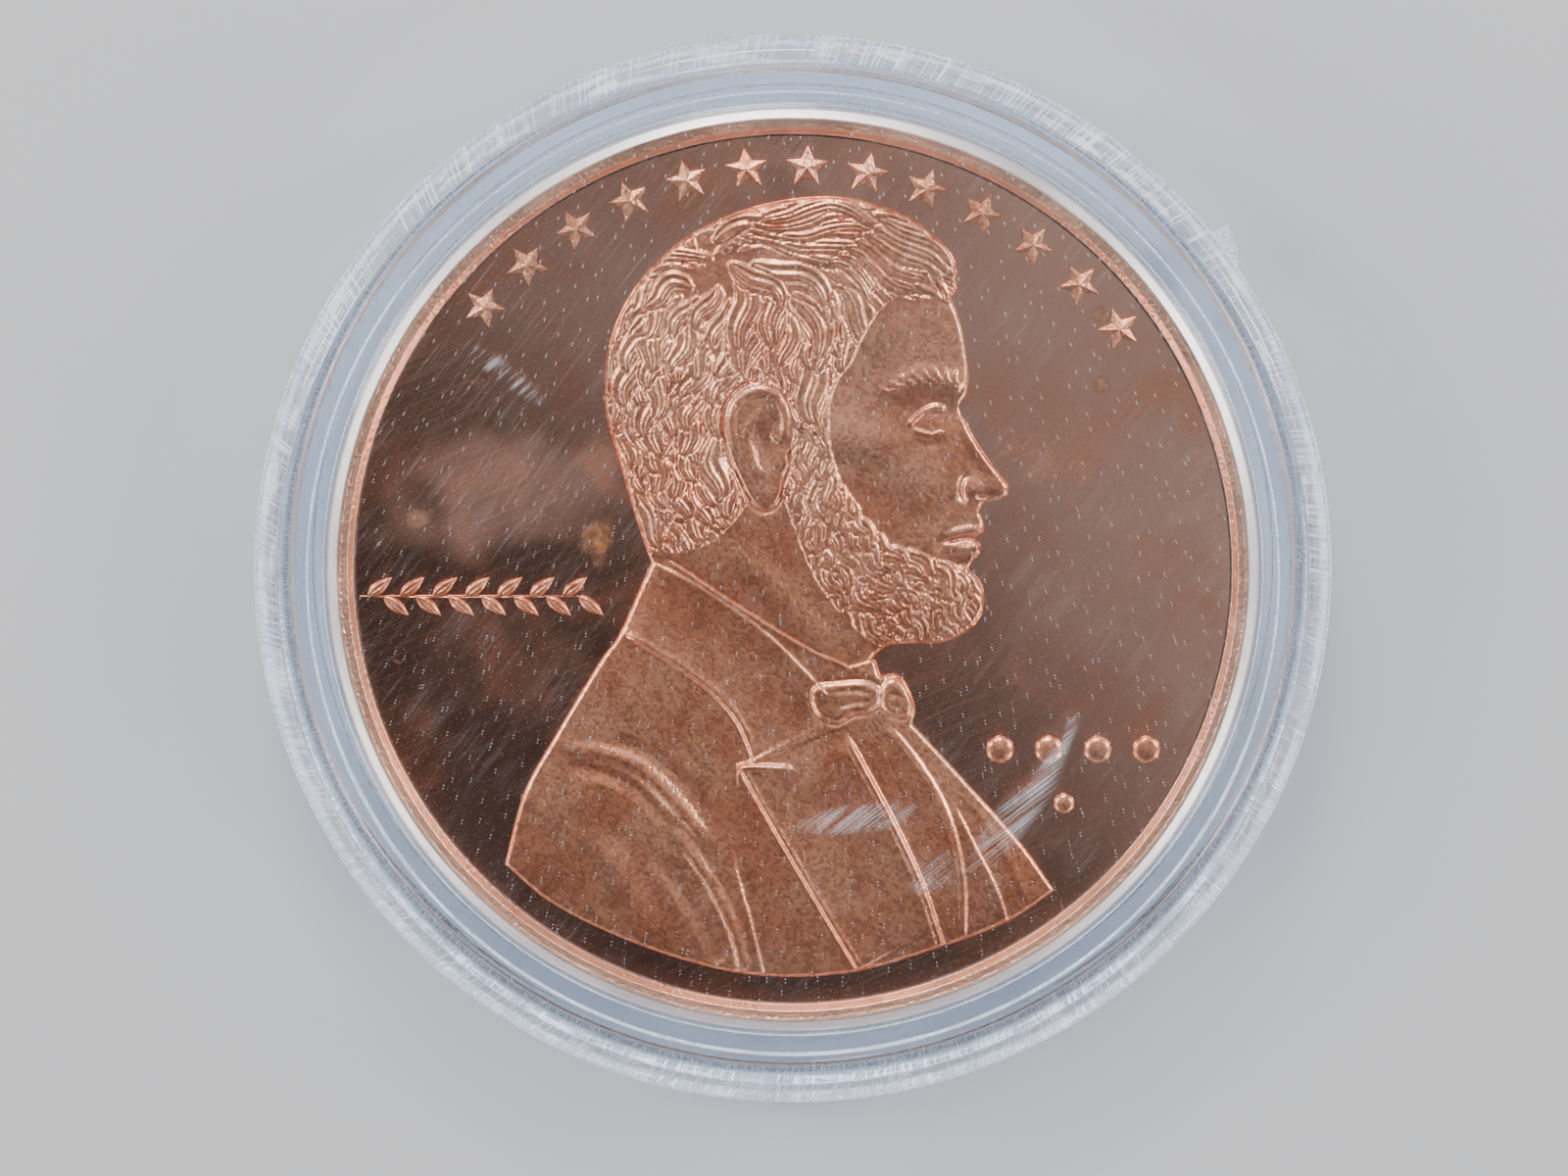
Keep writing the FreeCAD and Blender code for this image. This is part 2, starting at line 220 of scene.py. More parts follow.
def treeWithInputs(name, inputs):
    tree = bpy.data.node_groups.new(name, "GeometryNodeTree")
    tree.interface.new_socket("Geometry", in_out="INPUT", socket_type="NodeSocketGeometry")
    sockets = {}
    for label, kind in inputs.items():
        sockets[label] = tree.interface.new_socket(label, in_out="INPUT", socket_type="NodeSocket" + kind)
    tree.interface.new_socket("Geometry", in_out="OUTPUT", socket_type="NodeSocketGeometry")
    graph = Graph(tree)
    start = graph.add("NodeGroupInput")
    return tree, graph, start, {label: socket.identifier for label, socket in sockets.items()}


def finishTree(graph, shape, material):
    solid = graph.add("GeometryNodeRealizeInstances", {}, {"Geometry": shape})
    painted = graph.add("GeometryNodeSetMaterial", {}, {"Geometry": solid, "Material": material})
    graph.add("NodeGroupOutput", {}, {"Geometry": painted})


def applyTree(piece, tree, identifiers, values):
    # the tree's result becomes the piece's own mesh
    modifier = piece.modifiers.new("make", "NODES")
    modifier.node_group = tree
    for label, value in values.items():
        modifier[identifiers[label]] = value
    depsgraph = bpy.context.evaluated_depsgraph_get()
    made = bpy.data.meshes.new_from_object(piece.evaluated_get(depsgraph))
    piece.modifiers.remove(modifier)
    piece.data = made
    made.name = piece.name


pathRadius = 10 * mm  # circle that profiles are swept along


def latheTree():
    tree, graph, start, names = treeWithInputs("lathe", {"Segments": "Int", "Material": "Material"})
    profile = graph.add("GeometryNodeMeshToCurve", {}, {"Mesh": start})
    circle = graph.add("GeometryNodeCurvePrimitiveCircle", {},
                       {"Resolution": start.to("Segments"), "Radius": pathRadius})
    swept = graph.add("GeometryNodeCurveToMesh", {}, {"Curve": circle, "Profile Curve": profile})
    welded = graph.add("GeometryNodeMergeByDistance", {}, {"Geometry": swept, "Distance": 1e-6})
    finishTree(graph, welded, start.to("Material"))
    return tree, names


def ringTree():
    # copies of the mesh round the axis, from a first angle with a pitch, all facing outward
    inputs = {"Count": "Int", "Radius": "Float", "First": "Float", "Pitch": "Float", "Turn": "Float",
              "Height": "Float", "Material": "Material"}
    tree, graph, start, names = treeWithInputs("ring", inputs)
    angle = graph.add("GeometryNodeInputIndex") * start.to("Pitch") + start.to("First")
    spot = graph.vector(angle.cosine() * start.to("Radius"), angle.sine() * start.to("Radius"),
                        start.to("Height"))
    points = graph.add("GeometryNodePoints", {}, {"Count": start.to("Count"), "Position": spot})
    turn = graph.vector(0.0, 0.0, angle + start.to("Turn"))
    copies = graph.add("GeometryNodeInstanceOnPoints", {},
                       {"Points": points, "Instance": start, "Rotation": turn})
    finishTree(graph, copies, start.to("Material"))
    return tree, names


def rowTree():
    # copies of the mesh along X from a first place
    inputs = {"Count": "Int", "Start": "Vector", "Step": "Vector", "Sway": "Float", "Material": "Material"}
    tree, graph, start, names = treeWithInputs("row", inputs)
    line = graph.add("GeometryNodeMeshLine", {"mode": "OFFSET"},
                     {"Count": start.to("Count"), "Start Location": start.to("Start"),
                      "Offset": start.to("Step")})
    odd = graph.add("GeometryNodeInputIndex").math("MODULO", graph.add("GeometryNodeInputIndex"), 2.0)
    turn = graph.vector(0.0, 0.0, (1 - 2 * odd) * start.to("Sway"))
    copies = graph.add("GeometryNodeInstanceOnPoints", {},
                       {"Points": line, "Instance": start, "Rotation": turn})
    finishTree(graph, copies, start.to("Material"))
    return tree, names


lathe, latheNames = latheTree()
ring, ringNames = ringTree()
row, rowNames = rowTree()


fillet = {"steps": 6, "support": 0.025}  # pieces in a round's arc, and the edge loops kept beside it


def filletProfile(corners):
    # corners are (radius, height) or (radius, height, round); rounds become short arcs
    steps, support = fillet["steps"], fillet["support"]
    points = []
    for k, corner in enumerate(corners):
        here = Vector(corner[:2])
        if len(corner) < 3:
            points.append(here)
            continue
        before = (Vector(corners[k - 1][:2]) - here).normalized()
        after = (Vector(corners[k + 1][:2]) - here).normalized()
        half = before.angle(after) / 2
        reach = corner[2] / math.tan(half)
        centre = here + (before + after).normalized() * corner[2] / math.sin(half)
        first = here + before * reach - centre
        sweep = first.angle_signed(here + after * reach - centre)
        points.append(here + before * (reach + support))
        for step in range(steps + 1):
            turned = first.copy()
            turned.rotate(Matrix.Rotation(-sweep * step / steps, 2))
            points.append(centre + turned)
        points.append(here + after * (reach + support))
    return points


def turnedPiece(name, corners, material, segments, sharp=30):
    profile = filletProfile(corners)
    points = [(p.x - pathRadius / mm, -p.y, 0) for p in profile]
    piece = newObject(name, points, [], [(k, k + 1) for k in range(len(points) - 1)])
    applyTree(piece, lathe, latheNames, {"Segments": segments, "Material": material})
    closeUp(piece, sharp)
    return piece


def curveThrough(points, step=0.1, closed=False):  # smooth curve through given points
    p = np.array(points, float)
    p = np.vstack([p[-1], p, p[0], p[1]] if closed else [2 * p[0] - p[1], p, 2 * p[-1] - p[-2]])
    out = []
    for a, b, c, d in zip(p[:-3], p[1:-2], p[2:-1], p[3:]):
        count = max(2, int(np.linalg.norm(c - b) / step))
        t = np.linspace(0, 1, count, endpoint=False)[:, None]
        out.append(0.5 * (2 * b + (c - a) * t + (2 * a - 5 * b + 4 * c - d) * t * t
                          + (3 * b - a - 3 * c + d) * t ** 3))
    if not closed:
        out.append(p[-2:-1])
    return np.vstack(out)


def outlineOf(runs, step=0.1):  # closed outline of smooth runs that meet at corners
    return np.vstack([curveThrough(run, step)[:-1] for run in runs])


def smoothStep(value, low, high):
    t = np.clip((value - low) / (high - low), 0, 1)
    return t * t * (3 - 2 * t)


def blurred(grid, reach):  # average over about this many cells each way, three times
    for _ in range(3):
        for axis in (0, 1):
            padding = [(reach + 1, reach) if k == axis else (0, 0) for k in (0, 1)]
            total = np.cumsum(np.pad(grid, padding, mode="edge"), axis)
            size = 2 * reach + 1
            high = np.take(total, range(size, total.shape[axis]), axis)
            low = np.take(total, range(0, total.shape[axis] - size), axis)
            grid = (high - low) / size
    return grid


class Relief:  # height over the coin's field in millimetres, on a square grid
    def __init__(self, shape):
        self.step = shape["step"]
        low, high = shape["low"], shape["high"]
        self.x, self.y = np.meshgrid(np.arange(low[0], high[0], self.step),
                                     np.arange(low[1], high[1], self.step))
        self.depth = self.inside(outlineOf(shape["outline"]))
        dome = 1 - np.exp(-np.clip(self.depth, 0, None) / shape["reach"])
        self.height = shape["edge"] + shape["swell"] * blurred(dome, 5)

    def window(self, line, reach):  # part of the grid within reach of a line
        corner = np.array((self.x[0, 0], self.y[0, 0]))
        i0, j0 = np.maximum(((line.min(0) - reach - corner) / self.step).astype(int), 0)
        i1, j1 = np.maximum(((line.max(0) + reach - corner) / self.step).astype(int) + 2, 0)
        return np.s_[j0:j1, i0:i1]

    def nearest(self, line, part=np.s_[:, :]):  # distance to a line, side of it, share of its length
        x, y = self.x[part], self.y[part]
        best = np.full(x.shape, 1e9)
        side = np.ones(x.shape)
        along = np.zeros(x.shape)
        lengths = np.linalg.norm(np.diff(line, axis=0), axis=1)
        starts = np.concatenate([[0], np.cumsum(lengths)])
        for k in range(len(line) - 1):
            (ax, ay), (bx, by) = line[k], line[k + 1]
            dx, dy = bx - ax, by - ay
            t = np.clip(((x - ax) * dx + (y - ay) * dy) / max(lengths[k] ** 2, 1e-12), 0, 1)
            gap = np.hypot(x - ax - t * dx, y - ay - t * dy)
            closer = gap < best
            best = np.where(closer, gap, best)
            side = np.where(closer, np.sign(dx * (y - ay) - dy * (x - ax)), side)
            along = np.where(closer, (starts[k] + t * lengths[k]) / starts[-1], along)
        return best, side, along

    def inside(self, outline):  # distance to a closed outline, positive inside it
        closed = np.vstack([outline, outline[:1]])
        gap = self.nearest(closed)[0]
        within = np.zeros(self.x.shape, bool)
        for (ax, ay), (bx, by) in zip(closed[:-1], closed[1:]):
            if ay != by:
                crosses = (ay > self.y) != (by > self.y)
                within ^= crosses & (self.x < (bx - ax) * (self.y - ay) / (by - ay) + ax)
        return np.where(within, gap, -gap)

    def blob(self, x, y, wide, tall, turn, rise, mask=1.0):  # soft bump or hollow
        c, s = math.cos(math.radians(turn)), math.sin(math.radians(turn))
        u = ((self.x - x) * c + (self.y - y) * s) / wide
        v = ((self.y - y) * c - (self.x - x) * s) / tall
        self.height += rise * np.exp(-(u * u + v * v)) * mask

    def ridge(self, points, width, rise, taper=(0.2, 0.2), mask=None):  # soft ridge or groove
        line = curveThrough(points)
        part = self.window(line, width)
        gap, _, along = self.nearest(line, part)
        ends = smoothStep(along, 0, taper[0] + 1e-6) * smoothStep(1 - along, 0, taper[1] + 1e-6)
        cover = 1.0 if mask is None else mask[part]
        self.height[part] += rise * np.clip(1 - (gap / width) ** 2, 0, 1) ** 2 * ends * cover

    def fold(self, points, rise, sharp, fade, taper=(0.15, 0.15)):
        # edge of a layer: the left of the line stands up and sinks back over the fade
        line = curveThrough(points)
        part = self.window(line, 3 * fade)
        gap, side, along = self.nearest(line, part)
        ends = smoothStep(along, 0, taper[0] + 1e-6) * smoothStep(1 - along, 0, taper[1] + 1e-6)
        self.height[part] += rise * smoothStep(side * gap, -sharp, sharp) * np.exp(-gap / fade) * ends

    def lock(self, points, width, rise, strands, base, mask, seat=0.0):
        # one lock of hair laid over what is there, with fine strands along it
        line = curveThrough(points, 0.08)
        part = self.window(line, width)
        gap, side, along = self.nearest(line, part)
        half = width * (0.35 + 0.65 * np.sin(np.pi * along ** 0.75) ** 0.8)
        half = half * np.sqrt(np.clip((1 - along) * 6, 0.02, 1))
        across = side * gap / half
        body = np.sqrt(np.clip(1 - across ** 2, 0, 1))
        lines = 0.22 * np.cos(np.pi * across * strands)
        top = base[part] + seat + rise * body * (0.8 + lines) * (0.75 + 0.25 * np.sin(np.pi * along))
        covered = (np.abs(across) < 1) & mask[part] & (top > self.height[part] - 0.6 * rise)
        self.height[part] = np.where(covered, top, self.height[part])

    def add(self, features, gain=1.0):  # rows of (kind, ...) from a piece's dictionary
        before = self.height.copy()
        for kind, *values in features:
            getattr(self, kind)(*values)
        self.height = before + gain * (self.height - before)


def reliefPiece(name, relief, field, material):
    # closed mesh of a relief: its top on the grid, its border moved onto the outline, a wall and a floor
    depth, step = relief.depth, relief.step
    inner = depth > 0.25 * step
    cell = inner[:-1, :-1] & inner[1:, :-1] & inner[:-1, 1:] & inner[1:, 1:]
    while True:  # cells that touch only at a corner would pinch the wall
        a, b, c, d = cell[:-1, :-1], cell[:-1, 1:], cell[1:, :-1], cell[1:, 1:]
        pinch = (a & d & ~b & ~c) | (b & c & ~a & ~d)
        if not pinch.any():
            break
        for part in (a, b, c, d):
            part &= ~pinch
    edgeRound = 0.35 + 0.65 * np.sqrt(np.clip(depth / 0.16, 0, 1))
    slopeY, slopeX = np.gradient(depth, step)
    length = np.hypot(slopeX, slopeY) + 1e-9
    slopeX, slopeY = slopeX / length, slopeY / length
    number = np.full(depth.shape, -1)
    rows, columns = np.nonzero(cell)
    for dj in (0, 1):
        for di in (0, 1):
            number[rows + dj, columns + di] = 0
    used = np.nonzero(number == 0)
    number[used] = np.arange(len(used[0]))
    quads = np.stack([number[rows, columns], number[rows, columns + 1],
                      number[rows + 1, columns + 1], number[rows + 1, columns]], 1)
    sides = np.concatenate([quads[:, [k, (k + 1) % 4]] for k in range(4)])
    known = set(map(tuple, sides.tolist()))
    border = [side for side in known if side[::-1] not in known]
    onBorder = np.zeros(len(used[0]), bool)
    onBorder[[a for a, b in border]] = True
    x, y, d = relief.x[used], relief.y[used], depth[used]
    gx, gy = slopeX[used], slopeY[used]
    x = np.where(onBorder, x - d * gx, x)
    y = np.where(onBorder, y - d * gy, y)
    z = field + (relief.height * edgeRound)[used]
    z = np.where(onBorder, field + 0.35 * relief.height[used], z)
    foot = {a: len(x) + k for k, a in enumerate(np.nonzero(onBorder)[0].tolist())}
    flare = 0.03
    below = [(x[a] - flare * gx[a], y[a] - flare * gy[a], field - 0.03) for a in foot]
    points = np.stack([x, y, z], 1).tolist() + below
    faces = quads.tolist() + [(b, a, foot[a], foot[b]) for a, b in border]
    following = dict(border)
    while following:  # the floor: one face for each loop of the border
        loop = [next(iter(following))]
        while loop[-1] in following:
            loop.append(following.pop(loop[-1]))
        faces.append([foot[a] for a in loop[:-1]][::-1])
    piece = newObject(name, points, faces)
    piece.data.materials.append(material)
    piece.data.validate()
    piece.data.shade_smooth()
    piece.data.set_sharp_from_angle(angle=math.radians(75))
    print(name, "faces", len(faces), "highest", round(float(z.max() - field), 3), "mm")
    return piece


copper = {
    "bright": (0.96, 0.43, 0.24, 1),
    "deep": (0.82, 0.30, 0.155, 1),
    "brown": (0.38, 0.13, 0.07, 1),
    "field": (0.78, 0.42, 0.30, 1),
    "spot": (0.52, 0.21, 0.07, 1),
    # the rim's outer half: copper paler than the metal itself, a painted highlight
    "rimPaintedHighlight": (0.98, 0.78, 0.68, 1),
    "rimOrange": (0.86, 0.38, 0.20, 1),
    "frostRough": 0.25,
    "frostDepth": 0.010,  # of the grain, in millimetres
    "mirrorRough": 0.085,
    "mirrorDepth": 0.004,
    "rimRough": 0.18,
    # toned spots on the field: x, y, half width, half height, turn, strength
    "spots": [(-8.2, 1.5, 0.95, 0.85, 20, 1.0), (-8.1, 0.75, 0.4, 0.8, 0, 0.6),
              (12.9, 7.9, 0.42, 0.42, 0, 0.9), (12.9, 10.8, 0.55, 0.5, 0, 0.8),
              (-15.7, 2.3, 0.6, 0.5, 0, 0.5), (-13.2, 8.0, 0.3, 0.25, 0, 0.5),
              (-16.5, -3.7, 0.25, 0.2, 0, 0.7)],
    # places where the field is hazy from handling, in the same form
    "haze": [(-12.0, 3.6, 6.0, 3.2, 4, 0.8), (12.8, 4.6, 6.5, 3.0, -4, 0.45),
             (13.0, -1.0, 5.0, 3.4, 20, 0.4), (-12.0, -4.5, 5.5, 3.5, -15, 0.2),
             (2.0, 17.2, 9.0, 1.2, 0, 0.3)],
}


def frostedCopper():
    material, graph = newMaterial("frostedCopper")
    place = graph.place()
    grain = graph.cells(place, 7.0)
    fine = graph.noise(place, 9.0, 1.0, 0.6)
    cloud = graph.noise(place, 0.28, 2.0, 0.6)
    tone = graph.noise(place, 0.9, 3.0, 0.65, 0.6)
    speck = graph.parts(grain.to("Color"))[0]
    colour = graph.blend(cloud.ramp(0.3, 0.7), copper["bright"], copper["deep"])
    colour = graph.blend(speck.ramp(0.2, 1.0) * 0.55, colour, copper["brown"])
    colour = graph.blend(tone.ramp(0.50, 0.70) * 0.4, colour, copper["brown"])
    surface = graph.add("ShaderNodeBsdfPrincipled", {}, {
        "Base Color": colour, "Metallic": 1.0, "Roughness": copper["frostRough"] + 0.12 * fine,
        "Normal": graph.bump(fine - grain * 0.5, copper["frostDepth"])})
    finishMaterial(graph, surface)
    return material


def coinCopper():
    # mirror field and semi-bright rim on one body, told apart by the distance from the axis; the rim's outer
    # half also takes a copper paler than the metal, a painted highlight
    material, graph = newMaterial("coinCopper")
    place = graph.place()
    x, y, z = graph.parts(place)
    radius = (x * x + y * y) ** 0.5
    angle = graph.add("ShaderNodeMath", {"operation": "ARCTAN2"}, {0: y, 1: x})
    wobble = graph.noise(place, 1.6, 2.0, 0.6)
    rim = radius.ramp(fieldRadius - 0.12, fieldRadius + 0.02)
    inner = radius.ramp(rimSplit + 0.12, rimSplit - 0.08) * rim
    spots = graph.patches(x + (wobble - 0.5) * 0.6, y + (wobble - 0.5) * 0.5, copper["spots"], 0.1)
    drift = graph.noise(place, 0.35, 1.0, 0.5) - 0.5
    haze = graph.patches(x + drift * 5.0, y + drift * 4.0, copper["haze"], 0.0)
    cloud = graph.noise(place, 0.22, 2.0, 0.6, 0.5).ramp(0.42, 0.75)
    lines = (graph.hairlines(place, 24, 7.0, 0.035, 0.66, 0.80)
             + graph.hairlines(place, 58, 6.0, 0.03, 0.68, 0.82))
    polar = graph.vector(angle * 5.0, radius * 14.0 + z * 9.0, 0.0)
    swirl = graph.noise(polar, 1.0, 1.0, 0.6)
    speckle = graph.cells(place, 2.6).ramp(0.09, 0.03) * (1 - rim)
    colour = graph.blend(cloud * 0.5, copper["field"], copper["deep"])
    # painted highlight: the whole rim takes a paler copper than the metal, then its inner half goes mostly
    # back to orange
    colour = graph.blend(rim, colour, copper["rimPaintedHighlight"])
    colour = graph.blend(inner * 0.8, colour, copper["rimOrange"])
    crust = graph.noise(place, 4.0, 2.0, 0.6).ramp(0.35, 0.6)
    colour = graph.blend((spots * (0.45 + crust * 0.6)).highest(speckle * 0.5), colour, copper["spot"])
    rough = copper["mirrorRough"] + cloud * 0.06 + haze * 0.2 + lines * 0.05 * (1 - rim)
    rough = rough + spots * 0.25 + speckle * 0.2
    rough = rough + rim * (copper["rimRough"] + swirl * 0.14) + inner * (wobble * 0.1 - 0.05)
    pitting = graph.noise(place, 5.0, 1.0, 0.6)
    height = lines * 0.12 * (1 - rim) + swirl * 0.9 * rim + inner * pitting * 9.0
    surface = graph.add("ShaderNodeBsdfPrincipled", {}, {
        "Base Color": colour, "Metallic": 1.0, "Roughness": rough,
        "Normal": graph.bump(height, copper["mirrorDepth"])})
    finishMaterial(graph, surface)
    return material


acrylic = {
    "tint": (0.92, 0.955, 1.0, 1),
    "scuff": (0.90, 0.93, 1.0, 1),
    "windowShadow": (0.95, 0.96, 0.97, 1),  # light that passes the thin windows
    "wallShadow": (0.66, 0.71, 0.79, 1),
    "shadowSplit": (19.9, 20.4),
    "brokenWhite": (0.95, 0.97, 1.0, 1),
    "brokenGrey": (0.75, 0.80, 0.90, 1),
    "brokenDepth": 0.05,
    "index": 1.49,
    "clearRough": 0.012,
    "rubbedRough": 0.4,
    "rubbedShare": 0.75,  # how white the worst scuffs are
    "scuffRadius": 21.35,  # the handled outer part starts here
    # rubbed places on the lid's window: x, y, half width, half height, turn, strength
    "rubs": [(9.3, -10.2, 0.9, 3.6, -38, 1.0), (10.6, -8.4, 0.5, 1.8, -35, 0.8),
             (2.8, -10.3, 3.4, 0.7, 8, 0.8), (-12.0, 8.5, 2.4, 0.5, -38, 0.7),
             (6.0, -12.6, 1.6, 0.8, 30, 0.5), (11.6, -6.6, 0.3, 1.0, -20, 0.8)],
}


def clearAcrylic(name, rubs):
    material, graph = newMaterial(name)
    place = graph.place()
    x, y, z = graph.parts(place)
    radius = (x * x + y * y) ** 0.5
    angle = graph.add("ShaderNodeMath", {"operation": "ARCTAN2"}, {0: y, 1: x})
    outer = radius.ramp(acrylic["scuffRadius"], acrylic["scuffRadius"] + 0.3)
    depth = radius * 16.0 + z * 16.0
    around = graph.noise(graph.vector(angle * 9.0, depth, 0.0), 1.0, 2.0, 0.65)
    across = graph.noise(graph.vector(angle * 260.0 + radius * 4.0, depth * 0.07, 0.0), 1.0, 1.0, 0.6)
    worn = graph.noise(place, 0.35, 1.0, 0.6).ramp(0.35, 0.65)
    scratches = around.ramp(0.52, 0.66) * 0.8 + across.ramp(0.54, 0.68) * 1.0
    scuff = outer * (scratches * (0.5 + worn * 0.7) + 0.2)
    if rubs:
        fine = graph.hairlines(place, 52, 4.0, 0.035, 0.7, 0.82)
        strokes = graph.hairlines(place, 38, 3.0, 0.10, 0.45, 0.7)
        dust = graph.cells(place, 1.1).ramp(0.045, 0.02)
        mark = fine * 0.04 + dust * 0.4 + graph.patches(x, y, acrylic["rubs"], 0.0) * strokes * 0.24
        scuff = scuff + mark * (1 - outer)
    bump = graph.bump(around * outer + across * 0.6 * outer, 0.005)
    clear = graph.add("ShaderNodeBsdfPrincipled", {}, {
        "Base Color": acrylic["tint"], "Transmission Weight": 1.0, "IOR": acrylic["index"],
        "Roughness": acrylic["clearRough"] + outer * (0.03 + around * 0.12), "Normal": bump})
    rubbed = graph.add("ShaderNodeBsdfPrincipled", {}, {
        "Base Color": acrylic["scuff"], "Roughness": acrylic["rubbedRough"], "IOR": acrylic["index"],
        "Normal": bump})
    marked = graph.add("ShaderNodeMixShader", {}, {0: scuff * acrylic["rubbedShare"], 1: clear, 2: rubbed})
    shadow = graph.add("ShaderNodeLightPath", out="Is Shadow Ray")
    window = graph.add("ShaderNodeBsdfTransparent", {}, {"Color": acrylic["windowShadow"]})
    wall = graph.add("ShaderNodeBsdfTransparent", {}, {"Color": acrylic["wallShadow"]})
    split = radius.ramp(*acrylic["shadowSplit"])
    passing = graph.add("ShaderNodeMixShader", {}, {0: split, 1: window, 2: wall})
    finishMaterial(graph, graph.add("ShaderNodeMixShader", {}, {0: shadow, 1: marked, 2: passing}))
    return material


def brokenAcrylic():
    # whitened, granular break where the gate was snapped off
    material, graph = newMaterial("brokenAcrylic")
    place = graph.place()
    grain = graph.cells(place, 7.0)
    fine = graph.noise(place, 9.0, 3.0, 0.7)
    bump = graph.bump(grain + fine, acrylic["brokenDepth"])
    clear = graph.add("ShaderNodeBsdfPrincipled", {}, {
        "Base Color": acrylic["tint"], "Transmission Weight": 1.0, "IOR": acrylic["index"],
        "Roughness": 0.2 + fine * 0.3, "Normal": bump})
    white = graph.add("ShaderNodeBsdfPrincipled", {}, {
        "Base Color": graph.blend(fine, acrylic["brokenGrey"], acrylic["brokenWhite"]), "Roughness": 0.35,
        "Normal": bump})
    broken = fine.ramp(0.2, 0.5) * 0.95
    finishMaterial(graph, graph.add("ShaderNodeMixShader", {}, {0: broken, 1: clear, 2: white}))
    return material


shell = {
    "window": 20.18,      # flat of the recessed window
    "recess": 0.3,
    "recessSlope": 0.1,
    "bevelStart": 1.0,    # in from the wall
    "bevelWidth": 0.8,
    "bevelDrop": 0.7,
    "bevelHeight": 1.15,
    "bevelRound": 0.3,
    "lipRound": 0.04,     # rounds at the outer corners of an edge
    "footRound": 0.05,    # rounds at the foot of a step
    "wallRound": 0.06,
    "bevelEnd": 0.1,
    "seatRound": 0.12,
    "ceilingRound": 0.25,
    "seam": 0.05,         # open gap between the shells
    "thickness": 1.2,     # of each window
    "seat": 19.7,
    "bore": 21.12,
    "spigot": 21.08,
    "ledge": 2.4,
    "chamfer": 0.15,
    "leadIn": 0.22,
    "segments": 384,
}


def outerCorners(wall, face, inward):
    # window, recess step, rim, bevel and the start of the wall; inward is +1 up or -1 down
    s = shell
    return [
        (0, face + inward * s["recess"]),
        (s["window"], face + inward * s["recess"], s["lipRound"]),
        (s["window"] + s["recessSlope"], face, s["footRound"]),
        (wall - s["bevelStart"], face, s["bevelRound"]),
        (wall - s["bevelStart"] + s["bevelWidth"], face + inward * s["bevelDrop"], s["bevelRound"]),
        (wall, face + inward * s["bevelHeight"], s["bevelEnd"]),
    ]


def makeBase(material):
    s = shell
    wall, top = -baseLow.x, baseHigh.z
    floor = baseLow.z + s["recess"] + s["thickness"]
    corners = outerCorners(wall, baseLow.z, 1) + [
        (wall, top - s["chamfer"], s["wallRound"]),
        (wall - s["chamfer"], top, s["lipRound"]),
        (s["bore"] + s["leadIn"], top, s["lipRound"]),
        (s["bore"], top - s["leadIn"], s["wallRound"]),
        (s["bore"], s["ledge"], s["footRound"]),
        (s["seat"], s["ledge"], s["footRound"]),
        (s["seat"], floor, s["seatRound"]),
        (0, floor),
    ]
    return turnedPiece("baseShell", corners, material, s["segments"])


def makeLid(material):
    s = shell
    wall, top = lidHigh.x, lidHigh.z
    ceiling = top - s["recess"] - s["thickness"]
    flange = baseHigh.z + s["seam"]
    corners = outerCorners(wall, top, -1) + [
        (wall, flange + s["chamfer"], s["wallRound"]),
        (wall - s["chamfer"], flange, s["lipRound"]),
        (s["spigot"], flange, s["footRound"]),
        (s["spigot"], lidLow.z + s["leadIn"], s["wallRound"]),
        (s["spigot"] - s["leadIn"], lidLow.z, s["lipRound"]),
        (s["seat"], lidLow.z, s["footRound"]),
        (s["seat"], ceiling, s["ceilingRound"]),
        (0, ceiling),
    ]
    return turnedPiece("lidShell", corners, material, s["segments"])


stub = {
    "angle": 36.4,  # round the axis, in degrees
    "root": 0.12,   # sunk into the wall
    "short": 0.5,
    "long": 1.0,
    "width": 1.8,
    "low": 1.8,
    "high": 2.6,
    "seed": 4,
}


def makeStub(material):
    # short block out of the wall, ragged where it broke
    rng = np.random.default_rng(stub["seed"])
    shape = bmesh.new()
    bmesh.ops.create_cube(shape, size=1)
    bmesh.ops.subdivide_edges(shape, edges=shape.edges, cuts=9, use_grid_fill=True)
    for vertex in shape.verts:
        along, up = vertex.co.y + 0.5, vertex.co.z + 0.5
        out = vertex.co.x + 0.5
        reach = stub["short"] + (stub["long"] - stub["short"]) * along
        ragged = 0.16 * math.sin(9 * along + 2) * math.sin(5 * up + 1) + rng.uniform(-0.09, 0.05)
        x = -stub["root"] + out * (stub["root"] + reach + (ragged - 0.1) * (out > 0.9))
        y = (along - 0.5) * stub["width"] * (1 - 0.12 * out) + rng.uniform(-0.03, 0.03) * out
        z = stub["low"] + (stub["high"] - stub["low"]) * (0.5 + (up - 0.5) * (1 - 0.2 * out))
        angle = math.radians(stub["angle"])
        x -= baseLow.x
        vertex.co = Vector((x * math.cos(angle) - y * math.sin(angle),
                            x * math.sin(angle) + y * math.cos(angle), z)) * mm
    bmesh.ops.recalc_face_normals(shape, faces=shape.faces)
    mesh = bpy.data.meshes.new("gateStub")
    shape.to_mesh(mesh)
    shape.free()
    mesh.materials.append(material)
    piece = bpy.data.objects.new("gateStub", mesh)
    bpy.context.scene.collection.objects.link(piece)
    return piece


blank = {
    "rimHeight": 0.42,
    "rimWidth": 1.1,
    "rimSlope": 0.22,
    "brightWidth": 0.5,  # outer half of the rim
    "segments": 512,
}
coinRadius = coinHigh.x
fieldRadius = coinRadius - blank["rimWidth"]
rimSplit = coinRadius - blank["brightWidth"]
topField = coinHigh.z - blank["rimHeight"]
lowField = coinLow.z + blank["rimHeight"]


